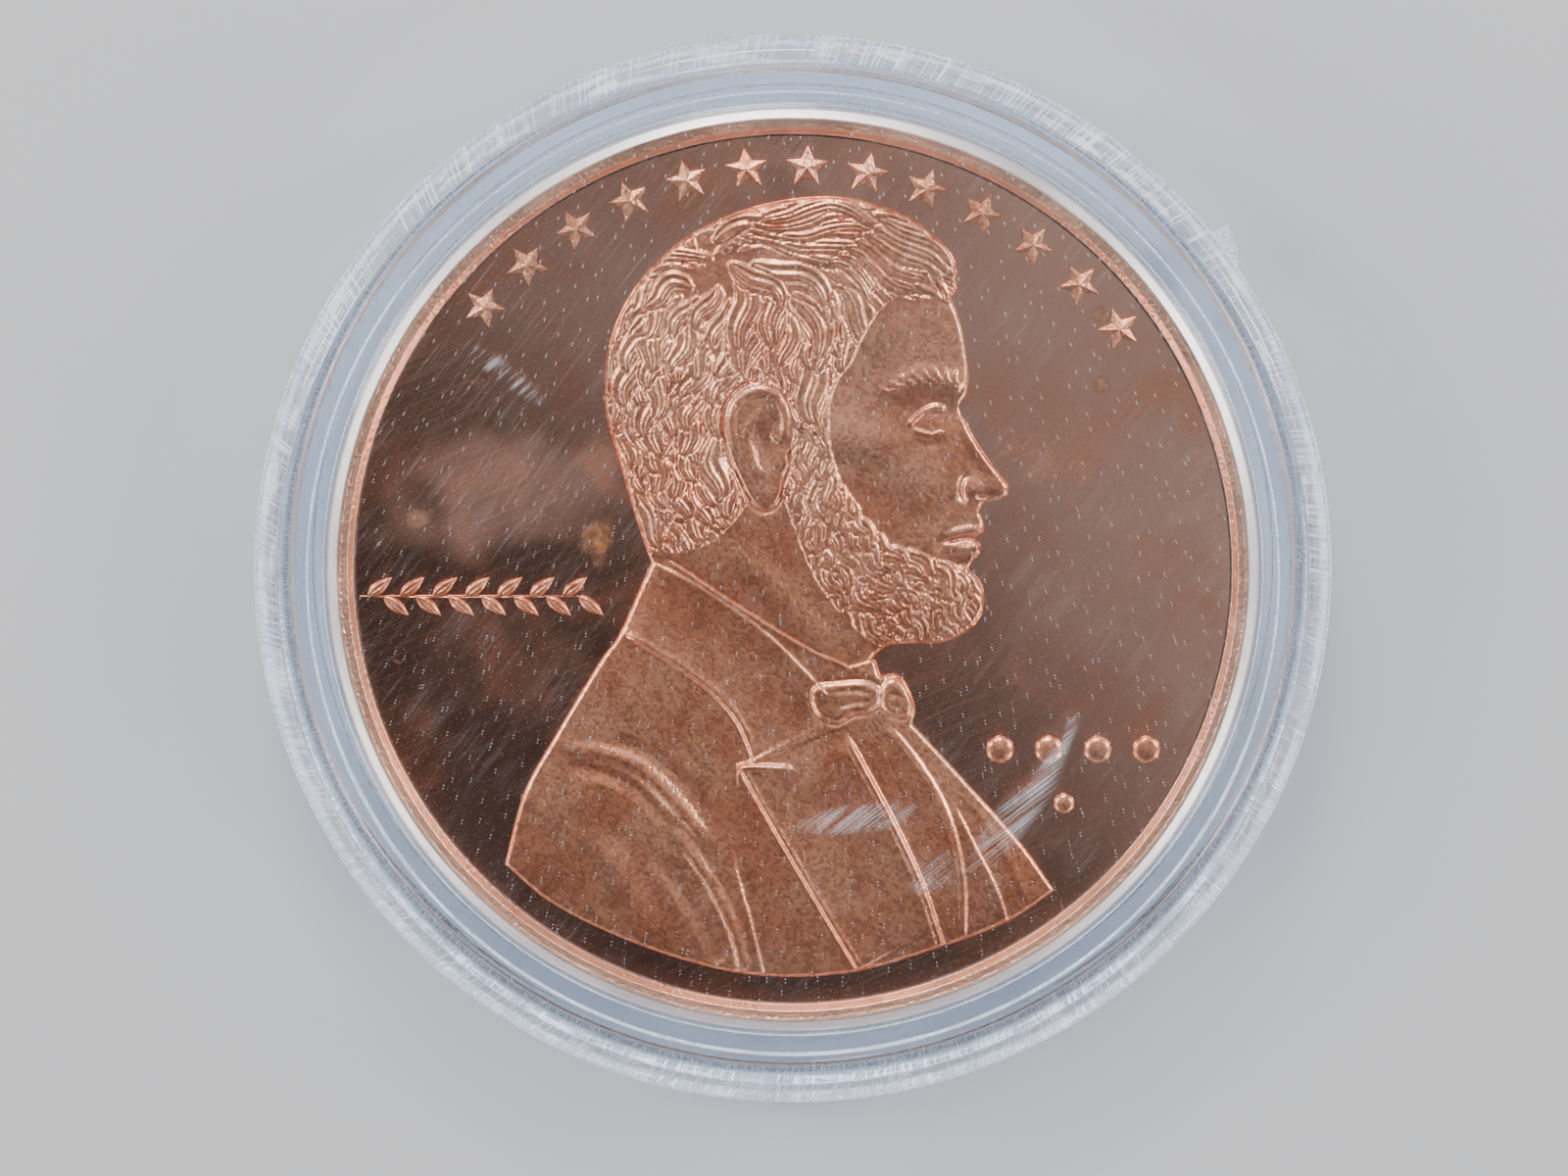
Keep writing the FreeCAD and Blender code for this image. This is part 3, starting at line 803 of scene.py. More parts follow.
def makeBlank(material):
    def face(level, inward):  # rim that falls away outside its crest, with a lower, rough inner half
        return [(coinRadius, level + inward * 0.30, 0.08),
                (coinRadius - 0.09, level + inward * 0.18, 0.10),
                (rimSplit + 0.06, level, 0.12),
                (rimSplit - 0.12, level + inward * 0.06, 0.06),
                (fieldRadius + blank["rimSlope"], level + inward * 0.08, 0.09),
                (fieldRadius, level + inward * blank["rimHeight"], 0.05)]
    corners = [(0, lowField)] + face(coinLow.z, 1)[::-1] + face(coinHigh.z, -1) + [(0, topField)]
    return turnedPiece("coinBlank", corners, material, blank["segments"], 40)


head = {
    "low": (-8.7, -5.4), "high": (9.7, 16.4), "step": 0.055,
    "edge": 0.10, "swell": 0.10, "reach": 1.4,
    "faceGain": 1.9, "lidGain": 1.3, "earGain": 1.2,
    "hairThick": 0.055, "beardThick": 0.06, "earHeight": 0.29,
    "outline": [
        [(-5.9, 0.4), (-6.35, 1.7), (-7.1, 4.2), (-7.85, 7.3), (-7.3, 10.6), (-5.3, 13.4), (-2.3, 15.1),
         (1.3, 15.75), (4.4, 15.1), (6.4, 13.6), (6.85, 12.2), (6.55, 11.55)],
        [(6.55, 11.55), (6.98, 10.4), (7.2, 9.2), (7.32, 8.2), (7.2, 7.55), (6.9, 7.0), (7.2, 6.3),
         (7.85, 5.2), (8.65, 4.1), (9.0, 3.6), (8.85, 3.2), (8.35, 3.0)],
        [(8.35, 3.0), (7.95, 2.93), (7.78, 2.55), (7.98, 2.05), (7.92, 1.72), (7.55, 1.45)],
        [(7.55, 1.45), (7.82, 1.2), (7.8, 0.85), (7.42, 0.4), (7.35, 0.1)],
        [(7.35, 0.1), (7.75, -0.25), (8.0, -0.95), (7.85, -1.85), (7.2, -2.55), (6.2, -2.95),
         (5.0, -3.0), (4.0, -3.1), (3.3, -3.6), (3.0, -4.3), (2.7, -5.2)],
        [(2.7, -5.2), (0.0, -3.6), (-3.0, -1.3), (-5.9, 0.4)],
    ],
    "face": [
        # forehead, temple and brow
        ("blob", 4.7, 10.3, 2.0, 1.5, 0, 0.022),
        ("blob", 2.7, 8.4, 1.2, 1.5, 15, -0.03),
        ("ridge", [(7.15, 7.85), (6.4, 8.2), (5.3, 8.2), (4.1, 7.75), (3.4, 7.2)], 0.75, 0.05, (0.05, 0.45)),
        # eye socket and eyeball
        ("blob", 5.6, 6.75, 1.15, 0.8, 5, -0.062),
        ("blob", 6.6, 6.75, 0.42, 0.6, 0, -0.04),
        ("blob", 5.75, 6.4, 0.75, 0.62, 0, 0.045),
        # nose
        ("ridge", [(6.95, 7.1), (7.2, 6.1), (7.8, 5.0), (8.5, 4.05)], 0.42, 0.035),
        ("blob", 8.45, 3.6, 0.5, 0.42, 0, 0.04),
        ("blob", 7.55, 3.55, 0.42, 0.42, 10, 0.075),
        ("ridge", [(7.5, 4.25), (7.12, 4.0), (6.98, 3.55), (7.1, 3.1), (7.4, 2.95)], 0.2, -0.06,
         (0.35, 0.2)),
        ("ridge", [(7.62, 3.16), (7.95, 3.2), (8.2, 3.15)], 0.11, -0.05, (0.3, 0.3)),
        # cheek
        ("ridge", [(0.6, 6.0), (2.4, 5.7), (4.0, 5.25), (5.3, 4.7)], 1.3, 0.045, (0.2, 0.4)),
        ("blob", 5.2, 3.9, 1.1, 1.0, 0, 0.03),
        ("blob", 3.2, 3.0, 1.3, 1.3, -30, -0.022),
        ("ridge", [(7.0, 3.4), (6.45, 2.85), (6.15, 2.2), (6.05, 1.6)], 0.3, -0.025, (0.3, 0.4)),
        # mouth and chin
        ("ridge", [(7.95, 1.78), (7.3, 1.82), (6.7, 1.66), (6.2, 1.42)], 0.3, 0.045, (0.1, 0.4)),
        ("ridge", [(7.85, 1.05), (7.2, 1.0), (6.7, 1.06), (6.25, 1.25)], 0.34, 0.05, (0.1, 0.4)),
        ("ridge", [(7.6, 1.45), (7.1, 1.46), (6.6, 1.36), (6.12, 1.3)], 0.13, -0.07, (0.05, 0.3)),
        ("blob", 6.02, 1.28, 0.2, 0.24, 0, -0.03),
        ("ridge", [(7.4, 0.38), (6.9, 0.4), (6.3, 0.65)], 0.36, -0.035, (0.1, 0.5)),
        ("ridge", [(7.75, 2.85), (7.82, 2.2)], 0.22, 0.02),
        # neck
        ("ridge", [(-2.8, 1.4), (-0.8, -0.7), (1.6, -3.6)], 0.9, 0.03, (0.2, 0.1)),
    ],
    "eye": [
        [(4.95, 6.22), (5.4, 6.66), (5.9, 6.83), (6.28, 6.78)],
        [(6.28, 6.78), (6.42, 6.45), (6.3, 6.08)],
        [(6.3, 6.08), (5.8, 5.97), (5.35, 6.03), (4.95, 6.22)],
    ],
    # eyebrow hairs: x, y and direction in radians
    "brow": [(6.95, 7.75, 2.0), (6.7, 7.85, 2.2), (6.4, 7.95, 2.4), (6.05, 8.0, 2.6), (5.65, 8.05, 2.8),
             (5.25, 8.0, 2.95), (4.85, 7.9, 3.15), (4.45, 7.75, 3.35)],
    "lids": [
        ("ridge", [(4.6, 6.1), (5.0, 6.38), (5.45, 6.78), (5.9, 6.96), (6.4, 6.88)], 0.17, 0.06, (0.3, 0.1)),
        ("ridge", [(4.7, 6.3), (5.2, 6.85), (5.8, 7.2), (6.4, 7.15)], 0.15, -0.035, (0.3, 0.25)),
        ("ridge", [(4.9, 6.1), (5.35, 5.9), (5.85, 5.83), (6.35, 5.98)], 0.14, 0.035, (0.25, 0.1)),
        ("ridge", [(4.9, 5.65), (5.5, 5.4), (6.1, 5.45), (6.5, 5.7)], 0.22, -0.018, (0.3, 0.3)),
    ],
    "hairline": [
        [(6.55, 11.55), (5.9, 11.75), (5.0, 11.6), (4.2, 11.75), (3.4, 11.1), (2.75, 10.0), (2.3, 9.0),
         (1.7, 8.2), (1.35, 7.2), (1.3, 6.2), (1.1, 5.2)],
        [(1.1, 5.2), (0.55, 4.4), (0.1, 4.9)],
        [(0.1, 4.9), (0.1, 6.3), (-0.25, 7.5), (-1.1, 8.2), (-2.2, 8.15), (-3.0, 7.3), (-3.2, 6.0),
         (-2.95, 4.8), (-2.5, 3.8), (-2.1, 3.0)],
        [(-2.1, 3.0), (-2.7, 2.2), (-3.5, 1.45), (-4.5, 1.1), (-5.6, 1.0), (-6.5, 1.3)],
        [(-6.5, 1.3), (-7.5, 4.2), (-8.2, 7.3), (-7.6, 10.8), (-5.5, 13.7), (-2.3, 15.5), (1.3, 16.1),
         (4.5, 15.5), (6.7, 13.8), (7.1, 12.2), (6.55, 11.55)],
    ],
    # which way the hair lies: x, y, direction in degrees
    "hairFlow": [(-4.3, 12.6, 150), (-2.5, 14.3, 20), (0.5, 15.0, 5), (3.5, 14.6, -12), (6.0, 13.2, -50),
                 (-1.0, 13.0, -8), (2.0, 12.8, -25), (4.6, 12.5, -30), (3.2, 11.6, -60), (1.6, 10.6, -75),
                 (1.8, 9.0, -85), (0.6, 7.6, -85), (0.4, 9.6, -95), (-1.2, 10.8, -95), (-1.4, 9.0, -110),
                 (-3.4, 11.4, -120), (-5.8, 11.6, -125), (-7.0, 9.0, -100), (-5.0, 9.0, -105),
                 (-3.6, 8.2, -115), (-7.2, 6.4, -85), (-5.2, 6.4, -95), (-3.8, 5.6, -95), (-6.4, 4.0, -75),
                 (-4.6, 3.6, -80), (-3.2, 3.4, -75), (-5.8, 2.2, -60), (-4.0, 1.8, -50), (0.7, 5.6, -88)],
    "beardline": [
        [(0.3, 6.4), (1.3, 6.3), (1.45, 5.2), (1.9, 3.9), (2.7, 2.7), (3.7, 1.7), (4.8, 1.0), (5.8, 0.55),
         (6.6, 0.3), (7.45, 0.1)],
        [(7.45, 0.1), (8.2, -0.3), (8.4, -1.1), (8.2, -2.1), (7.4, -2.9), (6.2, -3.4), (5.0, -3.4),
         (4.0, -3.2)],
        [(4.0, -3.2), (3.0, -2.5), (2.0, -1.5), (1.1, -0.2), (0.4, 1.3), (-0.05, 2.6), (-0.3, 3.4)],
        [(-0.3, 3.4), (0.0, 4.2), (0.1, 5.2), (0.3, 6.4)],
    ],
    "beardFlow": [(0.8, 6.0, -85), (0.9, 4.0, -88), (1.2, 2.4, -80), (2.4, 2.2, -62), (2.0, 0.6, -58),
                  (3.6, 0.8, -42), (3.4, -0.8, -45), (5.0, 0.2, -35), (4.6, -1.8, -45), (6.0, -0.6, -50),
                  (6.6, -1.8, -75), (7.3, -0.4, -70), (7.6, -1.6, -95), (5.6, -2.6, -60)],
    "ear": [
        [(-0.25, 5.0), (0.0, 5.7), (0.0, 6.6), (-0.35, 7.5), (-1.1, 8.0), (-2.0, 7.85), (-2.7, 7.1),
         (-2.85, 6.1), (-2.6, 5.0), (-2.15, 4.0), (-1.75, 3.2), (-1.3, 2.75), (-0.85, 2.85), (-0.55, 3.4),
         (-0.45, 4.1), (-0.2, 4.6)],
        [(-0.2, 4.6), (-0.25, 5.0)],
    ],
    "earFolds": [
        ("ridge", [(-0.45, 5.35), (-0.3, 6.1), (-0.35, 6.8), (-0.7, 7.45), (-1.25, 7.7), (-1.95, 7.5),
                   (-2.45, 6.9), (-2.55, 6.1), (-2.35, 5.1), (-2.0, 4.3)], 0.27, 0.06, (0.12, 0.25)),
        ("ridge", [(-1.0, 7.0), (-1.55, 6.6), (-1.9, 5.9), (-1.75, 5.0), (-1.4, 4.3), (-0.95, 4.05)],
         0.3, 0.05, (0.3, 0.15)),
        ("blob", -1.1, 5.35, 0.42, 0.75, 10, -0.10),
        ("blob", -0.75, 6.35, 0.28, 0.4, 20, -0.05),
        ("ridge", [(-0.95, 6.0), (-0.75, 5.7), (-0.45, 5.5)], 0.16, 0.035, (0.3, 0.1)),
        ("blob", -0.42, 4.85, 0.2, 0.33, 10, 0.05),
        ("blob", -1.15, 3.35, 0.38, 0.42, 0, 0.035),
    ],
}


def flowPath(flow, start, length, wave, phase, steps=6):  # path that drifts along the flow and waves
    guides = np.array(flow, float)
    turns = np.radians(guides[:, 2])
    path = [start]
    for k in range(steps):
        x, y = path[-1]
        weight = 1 / ((guides[:, 0] - x) ** 2 + (guides[:, 1] - y) ** 2 + 0.3) ** 1.5
        angle = math.atan2((weight * np.sin(turns)).sum(), (weight * np.cos(turns)).sum())
        angle += wave * math.sin(phase + 2.2 * math.pi * k / steps)
        path.append((x + length / steps * math.cos(angle), y + length / steps * math.sin(angle)))
    return path


def scatter(rng, low, high, gap, shake):  # jittered places with a phase and a size each
    places = []
    for j, y in enumerate(np.arange(low[1], high[1], gap * 0.8)):
        for x in np.arange(low[0], high[0], gap):
            place = (x + (j % 2) * gap / 2 + rng.uniform(-shake, shake), y + rng.uniform(-shake, shake))
            places.append(place + (rng.uniform(0, 6.3), rng.uniform(0.75, 1.25)))
    return places


def covered(relief, mask, x, y):
    i = int(round((x - relief.x[0, 0]) / relief.step))
    j = int(round((y - relief.y[0, 0]) / relief.step))
    return 0 <= j < mask.shape[0] and 0 <= i < mask.shape[1] and mask[j, i]


def combHair(relief, base, mask):
    places = scatter(np.random.default_rng(11), (-8.2, 1.0), (7.0, 16.2), 1.0, 0.3)
    places.sort(key=lambda p: -math.hypot(p[0] + 3.6, p[1] - 12.6))  # the crown's locks lie on top
    for x, y, phase, size in places:
        if covered(relief, mask, x, y):
            top = smoothStep(y + 0.25 * x, 10.8, 12.8)
            path = flowPath(head["hairFlow"], (x, y), size * (2.5 + 1.2 * top), 0.46 - 0.12 * top, phase)
            relief.lock(path, size * (0.60 + 0.04 * top), 0.18, 3, base, mask)
    for k in range(9):  # long locks over the crown
        s = k / 8
        start = (-3.4 + 2.2 * s, 13.2 + 1.6 * s)
        path = flowPath(head["hairFlow"], start, 5.5 + 1.5 * math.sin(3 * s), 0.35, 1 + 0.7 * k)
        relief.lock(path, 0.42, 0.15, 4, base, mask, 0.01)
    for k in range(7):  # forelock
        s = k / 6
        path = flowPath(head["hairFlow"], (1.6 + 2.2 * s, 13.1 + 1.7 * s), 3.8, 0.3, 2 + 0.5 * k)
        relief.lock(path, 0.46, 0.16, 4, base, mask, 0.015)


def combBeard(relief, base, mask):
    places = scatter(np.random.default_rng(5), (-0.4, -3.4), (8.4, 6.6), 0.66, 0.18)
    places.sort(key=lambda p: p[1] - 0.4 * p[0])
    for x, y, phase, size in places:
        if covered(relief, mask, x, y):
            path = flowPath(head["beardFlow"], (x, y), 1.8 * size, 0.55, phase)
            relief.lock(path, 0.40 * size, 0.14, 3, base, mask)


def growHair(relief, skin, line, thick, reach):
    # a layer over the skin inside a line; gives the layer and how far inside each place is
    within = np.minimum(relief.inside(outlineOf(line)), relief.depth + 0.02)
    layer = skin + thick * (1 - np.exp(-np.clip(within, 0, None) / reach))
    relief.height = np.where((within > 0) & (layer > relief.height), layer, relief.height)
    return layer, within


def makeEar(relief):
    edge = relief.inside(outlineOf(head["ear"]))
    plate = head["earHeight"] + 0.02 * smoothStep(edge, 0, 0.5)
    relief.height += (plate - relief.height) * smoothStep(edge, -0.07, 0.03)
    moat = np.clip(1 - np.abs(edge + 0.16) / 0.16, 0, 1) * (edge < 0) * smoothStep(-relief.x, -0.1, 0.6)
    relief.height -= 0.06 * moat
    relief.add(head["earFolds"], head["earGain"])


def makeHead(material):
    relief = Relief(head)
    relief.add(head["face"], head["faceGain"])
    opening = relief.inside(outlineOf(head["eye"], 0.05))
    relief.height -= 0.03 * smoothStep(opening, -0.03, 0.05)
    relief.blob(6.0, 6.4, 0.45, 0.45, 0, 0.035, opening > 0)
    relief.add(head["lids"], head["lidGain"])
    iris = [(6.0 + 0.23 * math.cos(a), 6.42 + 0.27 * math.sin(a)) for a in np.linspace(0.6, 5.6, 14)]
    relief.ridge(iris, 0.075, -0.022, (0.1, 0.1), smoothStep(opening, 0, 0.05))
    relief.blob(6.06, 6.43, 0.09, 0.1, 0, -0.03, opening > 0)
    for x, y, turn in head["brow"]:
        path = [(x, y), (x + 0.5 * math.cos(turn), y + 0.5 * math.sin(turn)),
                (x + 0.9 * math.cos(turn - 0.3), y + 0.9 * math.sin(turn - 0.3))]
        relief.ridge(path[::-1], 0.13, 0.05, (0.3, 0.2))
    skin = relief.height.copy()
    layer, within = growHair(relief, skin, head["hairline"], head["hairThick"], 0.45)
    combHair(relief, layer, within > -0.18)
    layer, within = growHair(relief, skin, head["beardline"], head["beardThick"], 0.35)
    combBeard(relief, layer, within > -0.12)
    makeEar(relief)
    return reliefPiece("portraitHead", relief, topField, material)


coat = {
    "low": (-12.6, -17.6), "high": (11.6, 1.4), "step": 0.06,
    "edge": 0.10, "swell": 0.08, "reach": 1.3,
    "clothGain": 1.6, "bowHeight": 0.13, "bowMoat": 0.05,
    "outline": [
        [(-5.5, 0.9), (-5.95, 0.3), (-7.2, -2.5), (-8.15, -3.9), (-10.0, -7.0), (-11.3, -9.4),
         (-12.1, -12.4)],
        [(-12.1, -12.4), (-10.2, -14.0), (-7.5, -15.4), (-4.5, -16.5), (-1.3, -17.15), (2.5, -17.0),
         (6.3, -15.9), (9.0, -14.85), (11.0, -13.5)],
        [(11.0, -13.5), (9.5, -11.4), (7.1, -8.7), (5.0, -6.4)],
        [(5.0, -6.4), (5.1, -5.6), (4.45, -4.35), (3.7, -4.35), (3.35, -3.65), (2.4, -3.85)],
        [(2.4, -3.85), (0.6, -3.0), (-2.2, -1.3), (-5.5, 0.9)],
    ],
    "throat": [(-5.5, 0.9), (-2.2, -1.3), (0.6, -3.0), (3.4, -4.4)],
    "cloth": [
        # shirt collar, then the coat's collar behind it
        ("ridge", [(-5.3, 0.72), (-2.2, -1.42), (0.5, -3.15), (2.4, -3.98)], 0.22, 0.03, (0.05, 0.05)),
        ("fold", [(1.6, -5.3), (0.9, -4.5), (-1.3, -2.35), (-3.9, -0.55), (-5.9, 0.5)], 0.05, 0.07, 0.9,
         (0.05, 0.05)),
        ("fold", [(-7.2, -2.55), (-5.1, -3.8), (-3.4, -5.07), (-2.3, -6.4), (-1.6, -8.1)], 0.085, 0.09, 1.6,
         (0.08, 0.02)),
        ("ridge", [(-7.0, -2.5), (-5.0, -3.65), (-3.3, -4.95), (-2.15, -6.3), (-1.5, -8.0)], 0.24, 0.03,
         (0.1, 0.1)),
        # lapel with its notch
        ("fold", [(0.3, -8.2), (-1.0, -8.1), (-2.35, -8.1)], 0.08, 0.08, 0.8, (0.25, 0.02)),
        ("fold", [(-2.3, -8.1), (-0.83, -10.8), (1.08, -14.1), (2.8, -17.0)], 0.09, 0.09, 1.7, (0.02, 0.02)),
        ("ridge", [(-2.15, -8.3), (-0.68, -10.8), (1.23, -14.1), (2.9, -16.9)], 0.24, 0.03, (0.05, 0.05)),
        ("ridge", [(-2.3, -8.22), (-1.0, -8.25), (0.2, -8.35)], 0.22, 0.03, (0.05, 0.3)),
        # inner edge of the lapel over the waistcoat
        ("fold", [(6.5, -16.3), (5.5, -13.2), (4.26, -10.5), (3.15, -8.4), (2.2, -6.6)], 0.09, 0.08, 1.3,
         (0.02, 0.1)),
        ("ridge", [(6.35, -16.2), (5.35, -13.2), (4.1, -10.5), (3.0, -8.4), (2.1, -6.8)], 0.26, 0.035,
         (0.05, 0.1)),
        # waistcoat and shirt front
        ("fold", [(7.3, -15.6), (7.25, -13.0), (6.6, -10.2), (5.3, -7.9), (3.9, -6.2)], 0.055, 0.07, 0.8,
         (0.05, 0.1)),
        ("ridge", [(3.7, -6.4), (5.1, -8.1), (6.4, -10.3), (7.05, -12.6), (7.15, -15.5)], 0.2, 0.025,
         (0.1, 0.1)),
        ("fold", [(9.1, -14.9), (8.56, -13.3), (7.7, -11.6), (6.6, -9.4)], 0.05, 0.07, 0.7, (0.05, 0.2)),
        ("ridge", [(9.9, -14.1), (9.2, -12.4), (8.1, -10.6), (6.9, -9.0)], 0.3, 0.025, (0.1, 0.3)),
        # sleeve and the folds from the armhole
        ("fold", [(-1.2, -17.1), (-1.8, -14.6), (-2.45, -12.1), (-2.6, -10.2)], 0.06, 0.09, 1.1,
         (0.02, 0.5)),
        ("ridge", [(-10.3, -7.3), (-7.5, -7.75), (-5.9, -8.7), (-4.2, -10.6), (-3.1, -12.2)], 0.5, 0.075,
         (0.3, 0.2)),
        ("ridge", [(-10.0, -8.1), (-7.6, -8.6), (-6.1, -9.6), (-4.7, -11.3)], 0.5, -0.055, (0.3, 0.3)),
        ("ridge", [(-7.9, -6.9), (-6.0, -7.7), (-4.3, -9.2), (-3.3, -10.8)], 0.5, -0.05, (0.3, 0.3)),
        ("ridge", [(-5.3, -10.5), (-3.6, -12.9), (-2.5, -15.1), (-2.0, -17.0)], 0.42, 0.065, (0.3, 0.05)),
        ("ridge", [(-6.4, -11.4), (-4.7, -13.4), (-3.6, -15.2), (-3.0, -16.7)], 0.55, -0.045, (0.3, 0.05)),
        ("ridge", [(-9.3, -10.6), (-7.6, -12.3), (-6.6, -14.2), (-6.1, -15.7)], 0.9, 0.045, (0.4, 0.1)),
        ("blob", -8.6, -9.6, 2.4, 1.6, 25, 0.035),
        ("blob", -6.6, -5.6, 1.6, 1.1, -35, 0.025),
        ("blob", 0.4, -6.1, 1.5, 1.2, -40, -0.03),
    ],
    "bow": [
        [(0.75, -5.3), (0.95, -4.75), (1.9, -4.6), (3.0, -4.55), (3.6, -4.85), (3.65, -5.45), (3.2, -5.9),
         (2.5, -6.0), (1.9, -6.35), (1.1, -6.1)],
        [(3.75, -4.75), (4.2, -4.45), (4.75, -4.75), (5.05, -5.4), (4.85, -6.05), (4.2, -6.05),
         (3.75, -5.6)],
    ],
    "bowFolds": [
        ("ridge", [(3.55, -4.75), (3.7, -5.25), (3.6, -5.7)], 0.28, 0.05),
        ("ridge", [(3.3, -5.0), (2.3, -4.95), (1.4, -5.05)], 0.18, -0.05, (0.2, 0.4)),
        ("ridge", [(3.3, -5.4), (2.4, -5.5), (1.5, -5.75)], 0.18, -0.05, (0.2, 0.4)),
        ("ridge", [(4.0, -5.1), (4.6, -5.2)], 0.16, -0.04, (0.2, 0.4)),
        ("ridge", [(4.0, -5.5), (4.5, -5.75)], 0.16, -0.04, (0.2, 0.4)),
    ],
}


def makeCoat(material):
    relief = Relief(coat)
    gap, _, along = relief.nearest(curveThrough(coat["throat"]))
    relief.height += 0.12 * np.exp(-gap / 1.6) * smoothStep(along, 0.0, 0.15)
    relief.add(coat["cloth"], coat["clothGain"])
    for wing in coat["bow"]:
        edge = relief.inside(curveThrough(wing, 0.1, True))
        relief.height -= coat["bowMoat"] * smoothStep(edge, -0.2, -0.03) * smoothStep(-edge, -0.1, 0.05)
        relief.height += coat["bowHeight"] * smoothStep(edge, -0.06, 0.28) ** 0.6
    relief.add(coat["bowFolds"])
    return reliefPiece("portraitCoat", relief, topField, material)


ornaments = {
    "relief": 0.2,
    "starCount": 13, "starCircle": 17.0, "starFirst": 37.0, "starPitch": 8.5,  # angles in degrees
    "starPoint": 0.85, "starWaist": 0.40,
    "leafCount": 14, "leafStart": -17.8, "leafPitch": 0.68, "leafUp": -1.0,
    "leafSize": (1.3, 0.27), "leafSway": 38, "stemSize": 0.05, "stemRelief": 0.12,
    "beadCount": 4, "beadStart": 8.7, "beadPitch": 2.05, "beadUp": -7.5, "beadRadius": 0.6,
    "markPlace": (11.4, -9.8), "markRadius": 0.45,
    "wreathCount": 28, "wreathRadius": 15.8, "wreathLeaf": (2.6, 0.62), "wreathTurn": 104.0,
}


def starMesh(name):  # five faceted points with a soft skirt
    o = ornaments
    points = [(0, 0, o["relief"] * 1.1)]
    for k in range(10):
        reach = o["starPoint"] if k % 2 == 0 else o["starWaist"]
        angle = math.radians(36 * k)
        for scale, height in ((1.0, 0.09), (1.06, 0.045), (1.1, -0.03)):
            points.append((reach * scale * math.cos(angle), reach * scale * math.sin(angle), height))
    faces = [[1 + 3 * (k % 10) + 2 for k in range(10)][::-1]]
    for k in range(10):
        a, b = 1 + 3 * k, 1 + 3 * ((k + 1) % 10)
        faces.append((0, a, b))
        faces += [(a, a + 1, b + 1, b), (a + 1, a + 2, b + 2, b + 1)]
    return newObject(name, points, faces)


def leafMesh(name, size, rise, columns=18, lines=10, stalk=-0.5):
    # pointed leaf along X with a rounded back and a groove for its midrib; rise below 0 faces down,
    # and stalk is where the leaf starts, as a share of its length
    length, half = size
    up = math.copysign(1, rise)
    points = []
    for i in range(columns + 1):
        s = i / columns
        wide = half * math.sin(math.pi * s ** 0.8) + 0.02
        for j in range(lines + 1):
            t = 2 * j / lines - 1
            crown = math.sqrt(max(0, 1 - t * t)) * (0.55 + 0.45 * math.sin(math.pi * s))
            groove = 0.35 * math.exp(-(t / 0.16) ** 2) * math.sin(math.pi * s)
            vein = 0.06 * math.cos(2 * math.pi * (6 * s - 1.2 * abs(t))) * (1 - abs(t))
            points.append((length * (s + stalk), wide * t, rise * (crown - groove + vein) - up * 0.02))
    top = len(points)
    stride = lines + 1
    faces = [(i * stride + j, (i + 1) * stride + j, (i + 1) * stride + j + 1, i * stride + j + 1)
             for i in range(columns) for j in range(lines)]
    outline = [j for j in range(stride)] + [i * stride + lines for i in range(1, columns + 1)]
    outline += [columns * stride + j for j in range(lines - 1, -1, -1)]
    outline += [i * stride for i in range(columns - 1, 0, -1)]
    points += [(points[v][0], points[v][1], -up * 0.05) for v in outline]
    count = len(outline)
    faces += [(outline[k], outline[(k + 1) % count], top + (k + 1) % count, top + k) for k in range(count)]
    faces.append([top + k for k in range(count)])
    return newObject(name, points, faces)


def domeMesh(name, radius, rise, material):
    corners = [(0, -0.03), (radius, -0.03), (radius - 0.02, 0.03)]
    for k in range(1, 9):
        angle = math.radians(90 * k / 8)
        corners.append(((radius - 0.03) * math.cos(angle), 0.03 + (rise - 0.03) * math.sin(angle)))
    return turnedPiece(name, corners, material, 40, 60)


def inRing(piece, count, radius, first, pitch, turn, height, material, sharp):
    # angles in degrees, lengths in millimetres
    applyTree(piece, ring, ringNames, {
        "Count": count, "Radius": radius * mm, "First": math.radians(first), "Pitch": math.radians(pitch),
        "Turn": math.radians(turn), "Height": height * mm, "Material": material})
    closeUp(piece, sharp)
    return piece


def inRow(piece, count, place, pitch, sway, material):
    applyTree(piece, row, rowNames, {
        "Count": count, "Start": (place[0] * mm, place[1] * mm, topField * mm),
        "Step": (pitch * mm, 0.0, 0.0), "Sway": math.radians(sway), "Material": material})
    closeUp(piece, 60)
    return piece


def makeOrnaments(material):
    o = ornaments
    stars = inRing(starMesh("starArc"), o["starCount"], o["starCircle"], o["starFirst"], o["starPitch"],
                   0.0, topField, material, 12)
    sprig = inRow(leafMesh("leafSprig", o["leafSize"], o["relief"], stalk=0), o["leafCount"],
                  (o["leafStart"], o["leafUp"]), o["leafPitch"], o["leafSway"], material)
    stemLength = o["leafPitch"] * o["leafCount"]
    stemMiddle = o["leafStart"] + o["leafPitch"] * (o["leafCount"] - 1) / 2
    stem = inRow(leafMesh("sprigStem", (stemLength, o["stemSize"]), o["stemRelief"], 60, 4), 1,
                 (stemMiddle, o["leafUp"]), 0.0, 0.0, material)
    beads = inRow(domeMesh("beadRow", o["beadRadius"], o["relief"] + 0.03, material), o["beadCount"],
                  (o["beadStart"], o["beadUp"]), o["beadPitch"], 0.0, material)
    mark = inRow(domeMesh("smallBead", o["markRadius"], o["relief"], material), 1,
                 o["markPlace"], 0.0, 0.0, material)
    wreath = inRing(leafMesh("reverseWreath", o["wreathLeaf"], -o["relief"]), o["wreathCount"],
                    o["wreathRadius"], 0.0, 360 / o["wreathCount"], o["wreathTurn"], lowField, material, 60)
    return [stars, sprig, stem, beads, mark, wreath]


frosted = frostedCopper()
mirror = coinCopper()
lidAcrylic = clearAcrylic("lidAcrylic", True)
baseAcrylic = clearAcrylic("baseAcrylic", False)
print("materials made")

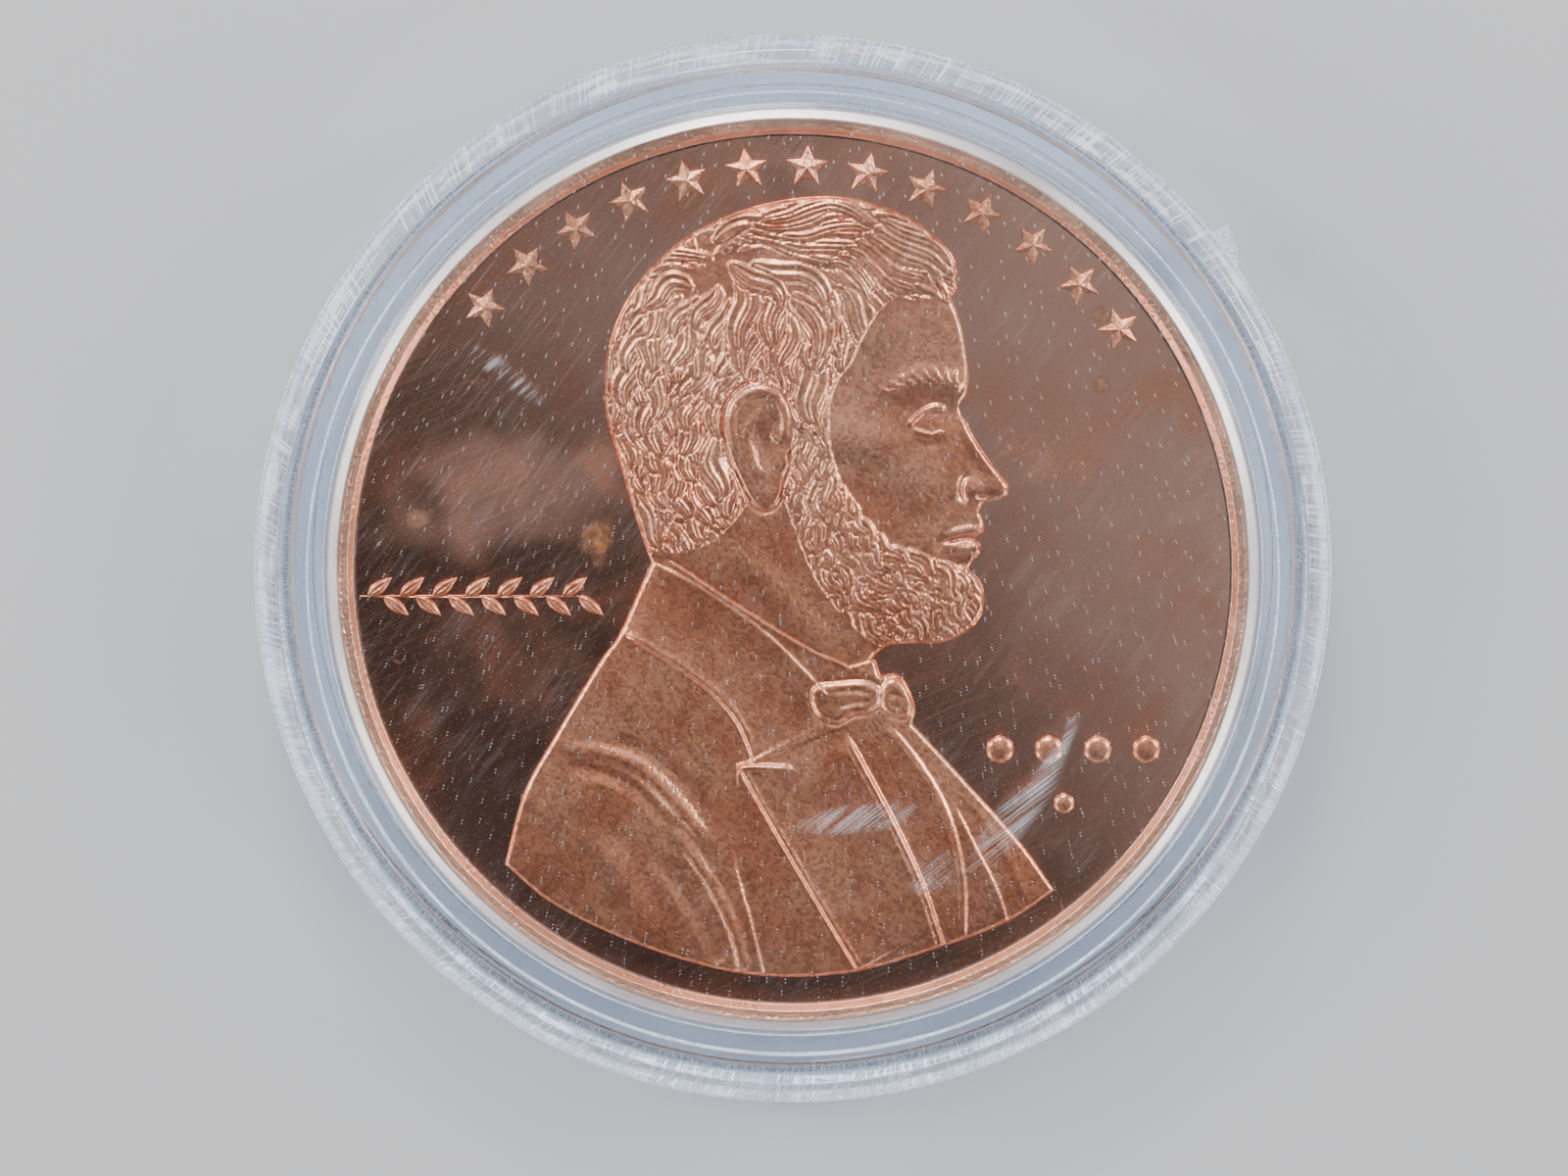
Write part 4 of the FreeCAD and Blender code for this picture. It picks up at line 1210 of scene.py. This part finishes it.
base = makeBase(baseAcrylic)
lid = makeLid(lidAcrylic)
gate = makeStub(brokenAcrylic())
print("shells made")

coinPieces = [makeBlank(mirror)] + makeOrnaments(frosted)
print("coin and ornaments made")
coinPieces += [makeHead(frosted), makeCoat(frosted)]
print("portrait made")

for piece, body, node in [(base, "base", "capsule_base"), (lid, "lid", "capsule_lid"),
                          (gate, "base", "capsule_base")]:
    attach(piece, body)
    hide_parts(node)
for piece in coinPieces:
    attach(piece, "coin")
    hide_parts("coin")


studio = {
    "floorSize": 1.2,   # half its side, in metres
    "floorGap": 0.02,   # under the capsule, in millimetres
    "floorColour": (0.60, 0.60, 0.61, 1),
    "floorShade": (0.57, 0.57, 0.58, 1),
    "horizon": (0.95, 0.99, 1.08, 1),
    "ring": (0.022, 0.022, 0.026, 1),  # dark band round the overhead light, for contrast in the metal
    "overhead": (0.88, 0.84, 0.80, 1),
    "overheadDim": (0.08, 0.075, 0.075, 1),
    "worldStrength": 0.7,
    # lamps: azimuth, elevation, distance, size in metres, watts
    "lamps": [(97, 40, 0.45, 0.14, 1.35), (160, 36, 0.45, 0.12, 1.0), (20, 36, 0.45, 0.12, 0.9),
              (215, 24, 0.42, 0.12, 0.5), (-35, 24, 0.42, 0.12, 0.5)],
}
view = {
    "tilt": 8.0,           # from the axis, in degrees
    "distance": 0.29,      # in metres
    "frameWidth": 65.25,   # at the lid, in millimetres
    "aim": (-0.37, -0.42),
}


def makeFloor():
    size = studio["floorSize"]
    floor = newObject("floor", [(-size, -size, 0), (size, -size, 0), (size, size, 0), (-size, size, 0)],
                      [(0, 1, 2, 3)], scale=1)
    floor.location.z = cadBounds[0][2] - studio["floorGap"] * mm
    material, graph = newMaterial("paleFloor")
    place = graph.place()
    mottle = graph.noise(place, 0.05, 1.0)
    surface = graph.add("ShaderNodeBsdfPrincipled", {}, {
        "Base Color": graph.blend(mottle, studio["floorColour"], studio["floorShade"]),
        "Roughness": 0.7 + mottle * 0.1})
    finishMaterial(graph, surface)
    floor.data.materials.append(material)


def makeWorld():
    # bright round the horizon, dark above it and a dim patch overhead for the mirror field
    world = bpy.data.worlds.new("studio")
    world.use_nodes = True
    world.node_tree.nodes.clear()
    graph = Graph(world.node_tree)
    direction = graph.add("ShaderNodeTexCoord", out="Generated")
    east, north, up = graph.parts(direction)
    cloud = graph.noise(graph.scaled(direction, (9.0, 16.0, 2.0)), 1.0, 1.0)
    patch = (cloud * 1.2 + east * 2.5 + north * 3.0).ramp(0.0, 0.62)
    sky = graph.blend(patch, studio["overheadDim"], studio["overhead"])
    sky = graph.blend(up.ramp(0.975, 0.935), sky, studio["ring"])
    sky = graph.blend(up.ramp(0.74, 0.50), sky, studio["horizon"])
    light = graph.add("ShaderNodeBackground", {}, {"Color": sky, "Strength": studio["worldStrength"]})
    graph.add("ShaderNodeOutputWorld", {}, {"Surface": light})
    bpy.context.scene.world = world


def makeLamps():
    middle = Vector((0, 0, 3 * mm))
    for k, (azimuth, elevation, distance, size, watts) in enumerate(studio["lamps"]):
        a, e = math.radians(azimuth), math.radians(elevation)
        data = bpy.data.lights.new(f"lamp{k}", "AREA")
        data.shape = "DISK"
        data.size = size
        data.energy = watts
        lamp = bpy.data.objects.new(f"lamp{k}", data)
        lamp.location = middle + distance * Vector((math.cos(e) * math.cos(a), math.cos(e) * math.sin(a),
                                                    math.sin(e)))
        lamp.rotation_euler = (lamp.location - middle).to_track_quat("Z", "Y").to_euler()
        bpy.context.scene.collection.objects.link(lamp)


def makeCamera():
    # tilted from the axis towards the top of the coin, with that top upward in the image
    data = bpy.data.cameras.new("camera")
    data.sensor_width = 36
    data.lens = 36 * view["distance"] / (view["frameWidth"] * mm)
    data.clip_start = 0.01
    camera = bpy.data.objects.new("camera", data)
    tilt = math.radians(view["tilt"])
    aim = Vector((view["aim"][0] * mm, view["aim"][1] * mm, lidHigh.z * mm))
    camera.location = aim + view["distance"] * Vector((0, math.sin(tilt), math.cos(tilt)))
    camera.rotation_euler = (-tilt, 0, 0)
    bpy.context.scene.collection.objects.link(camera)
    bpy.context.scene.camera = camera


makeFloor()
makeWorld()
makeLamps()
makeCamera()
print("studio made")
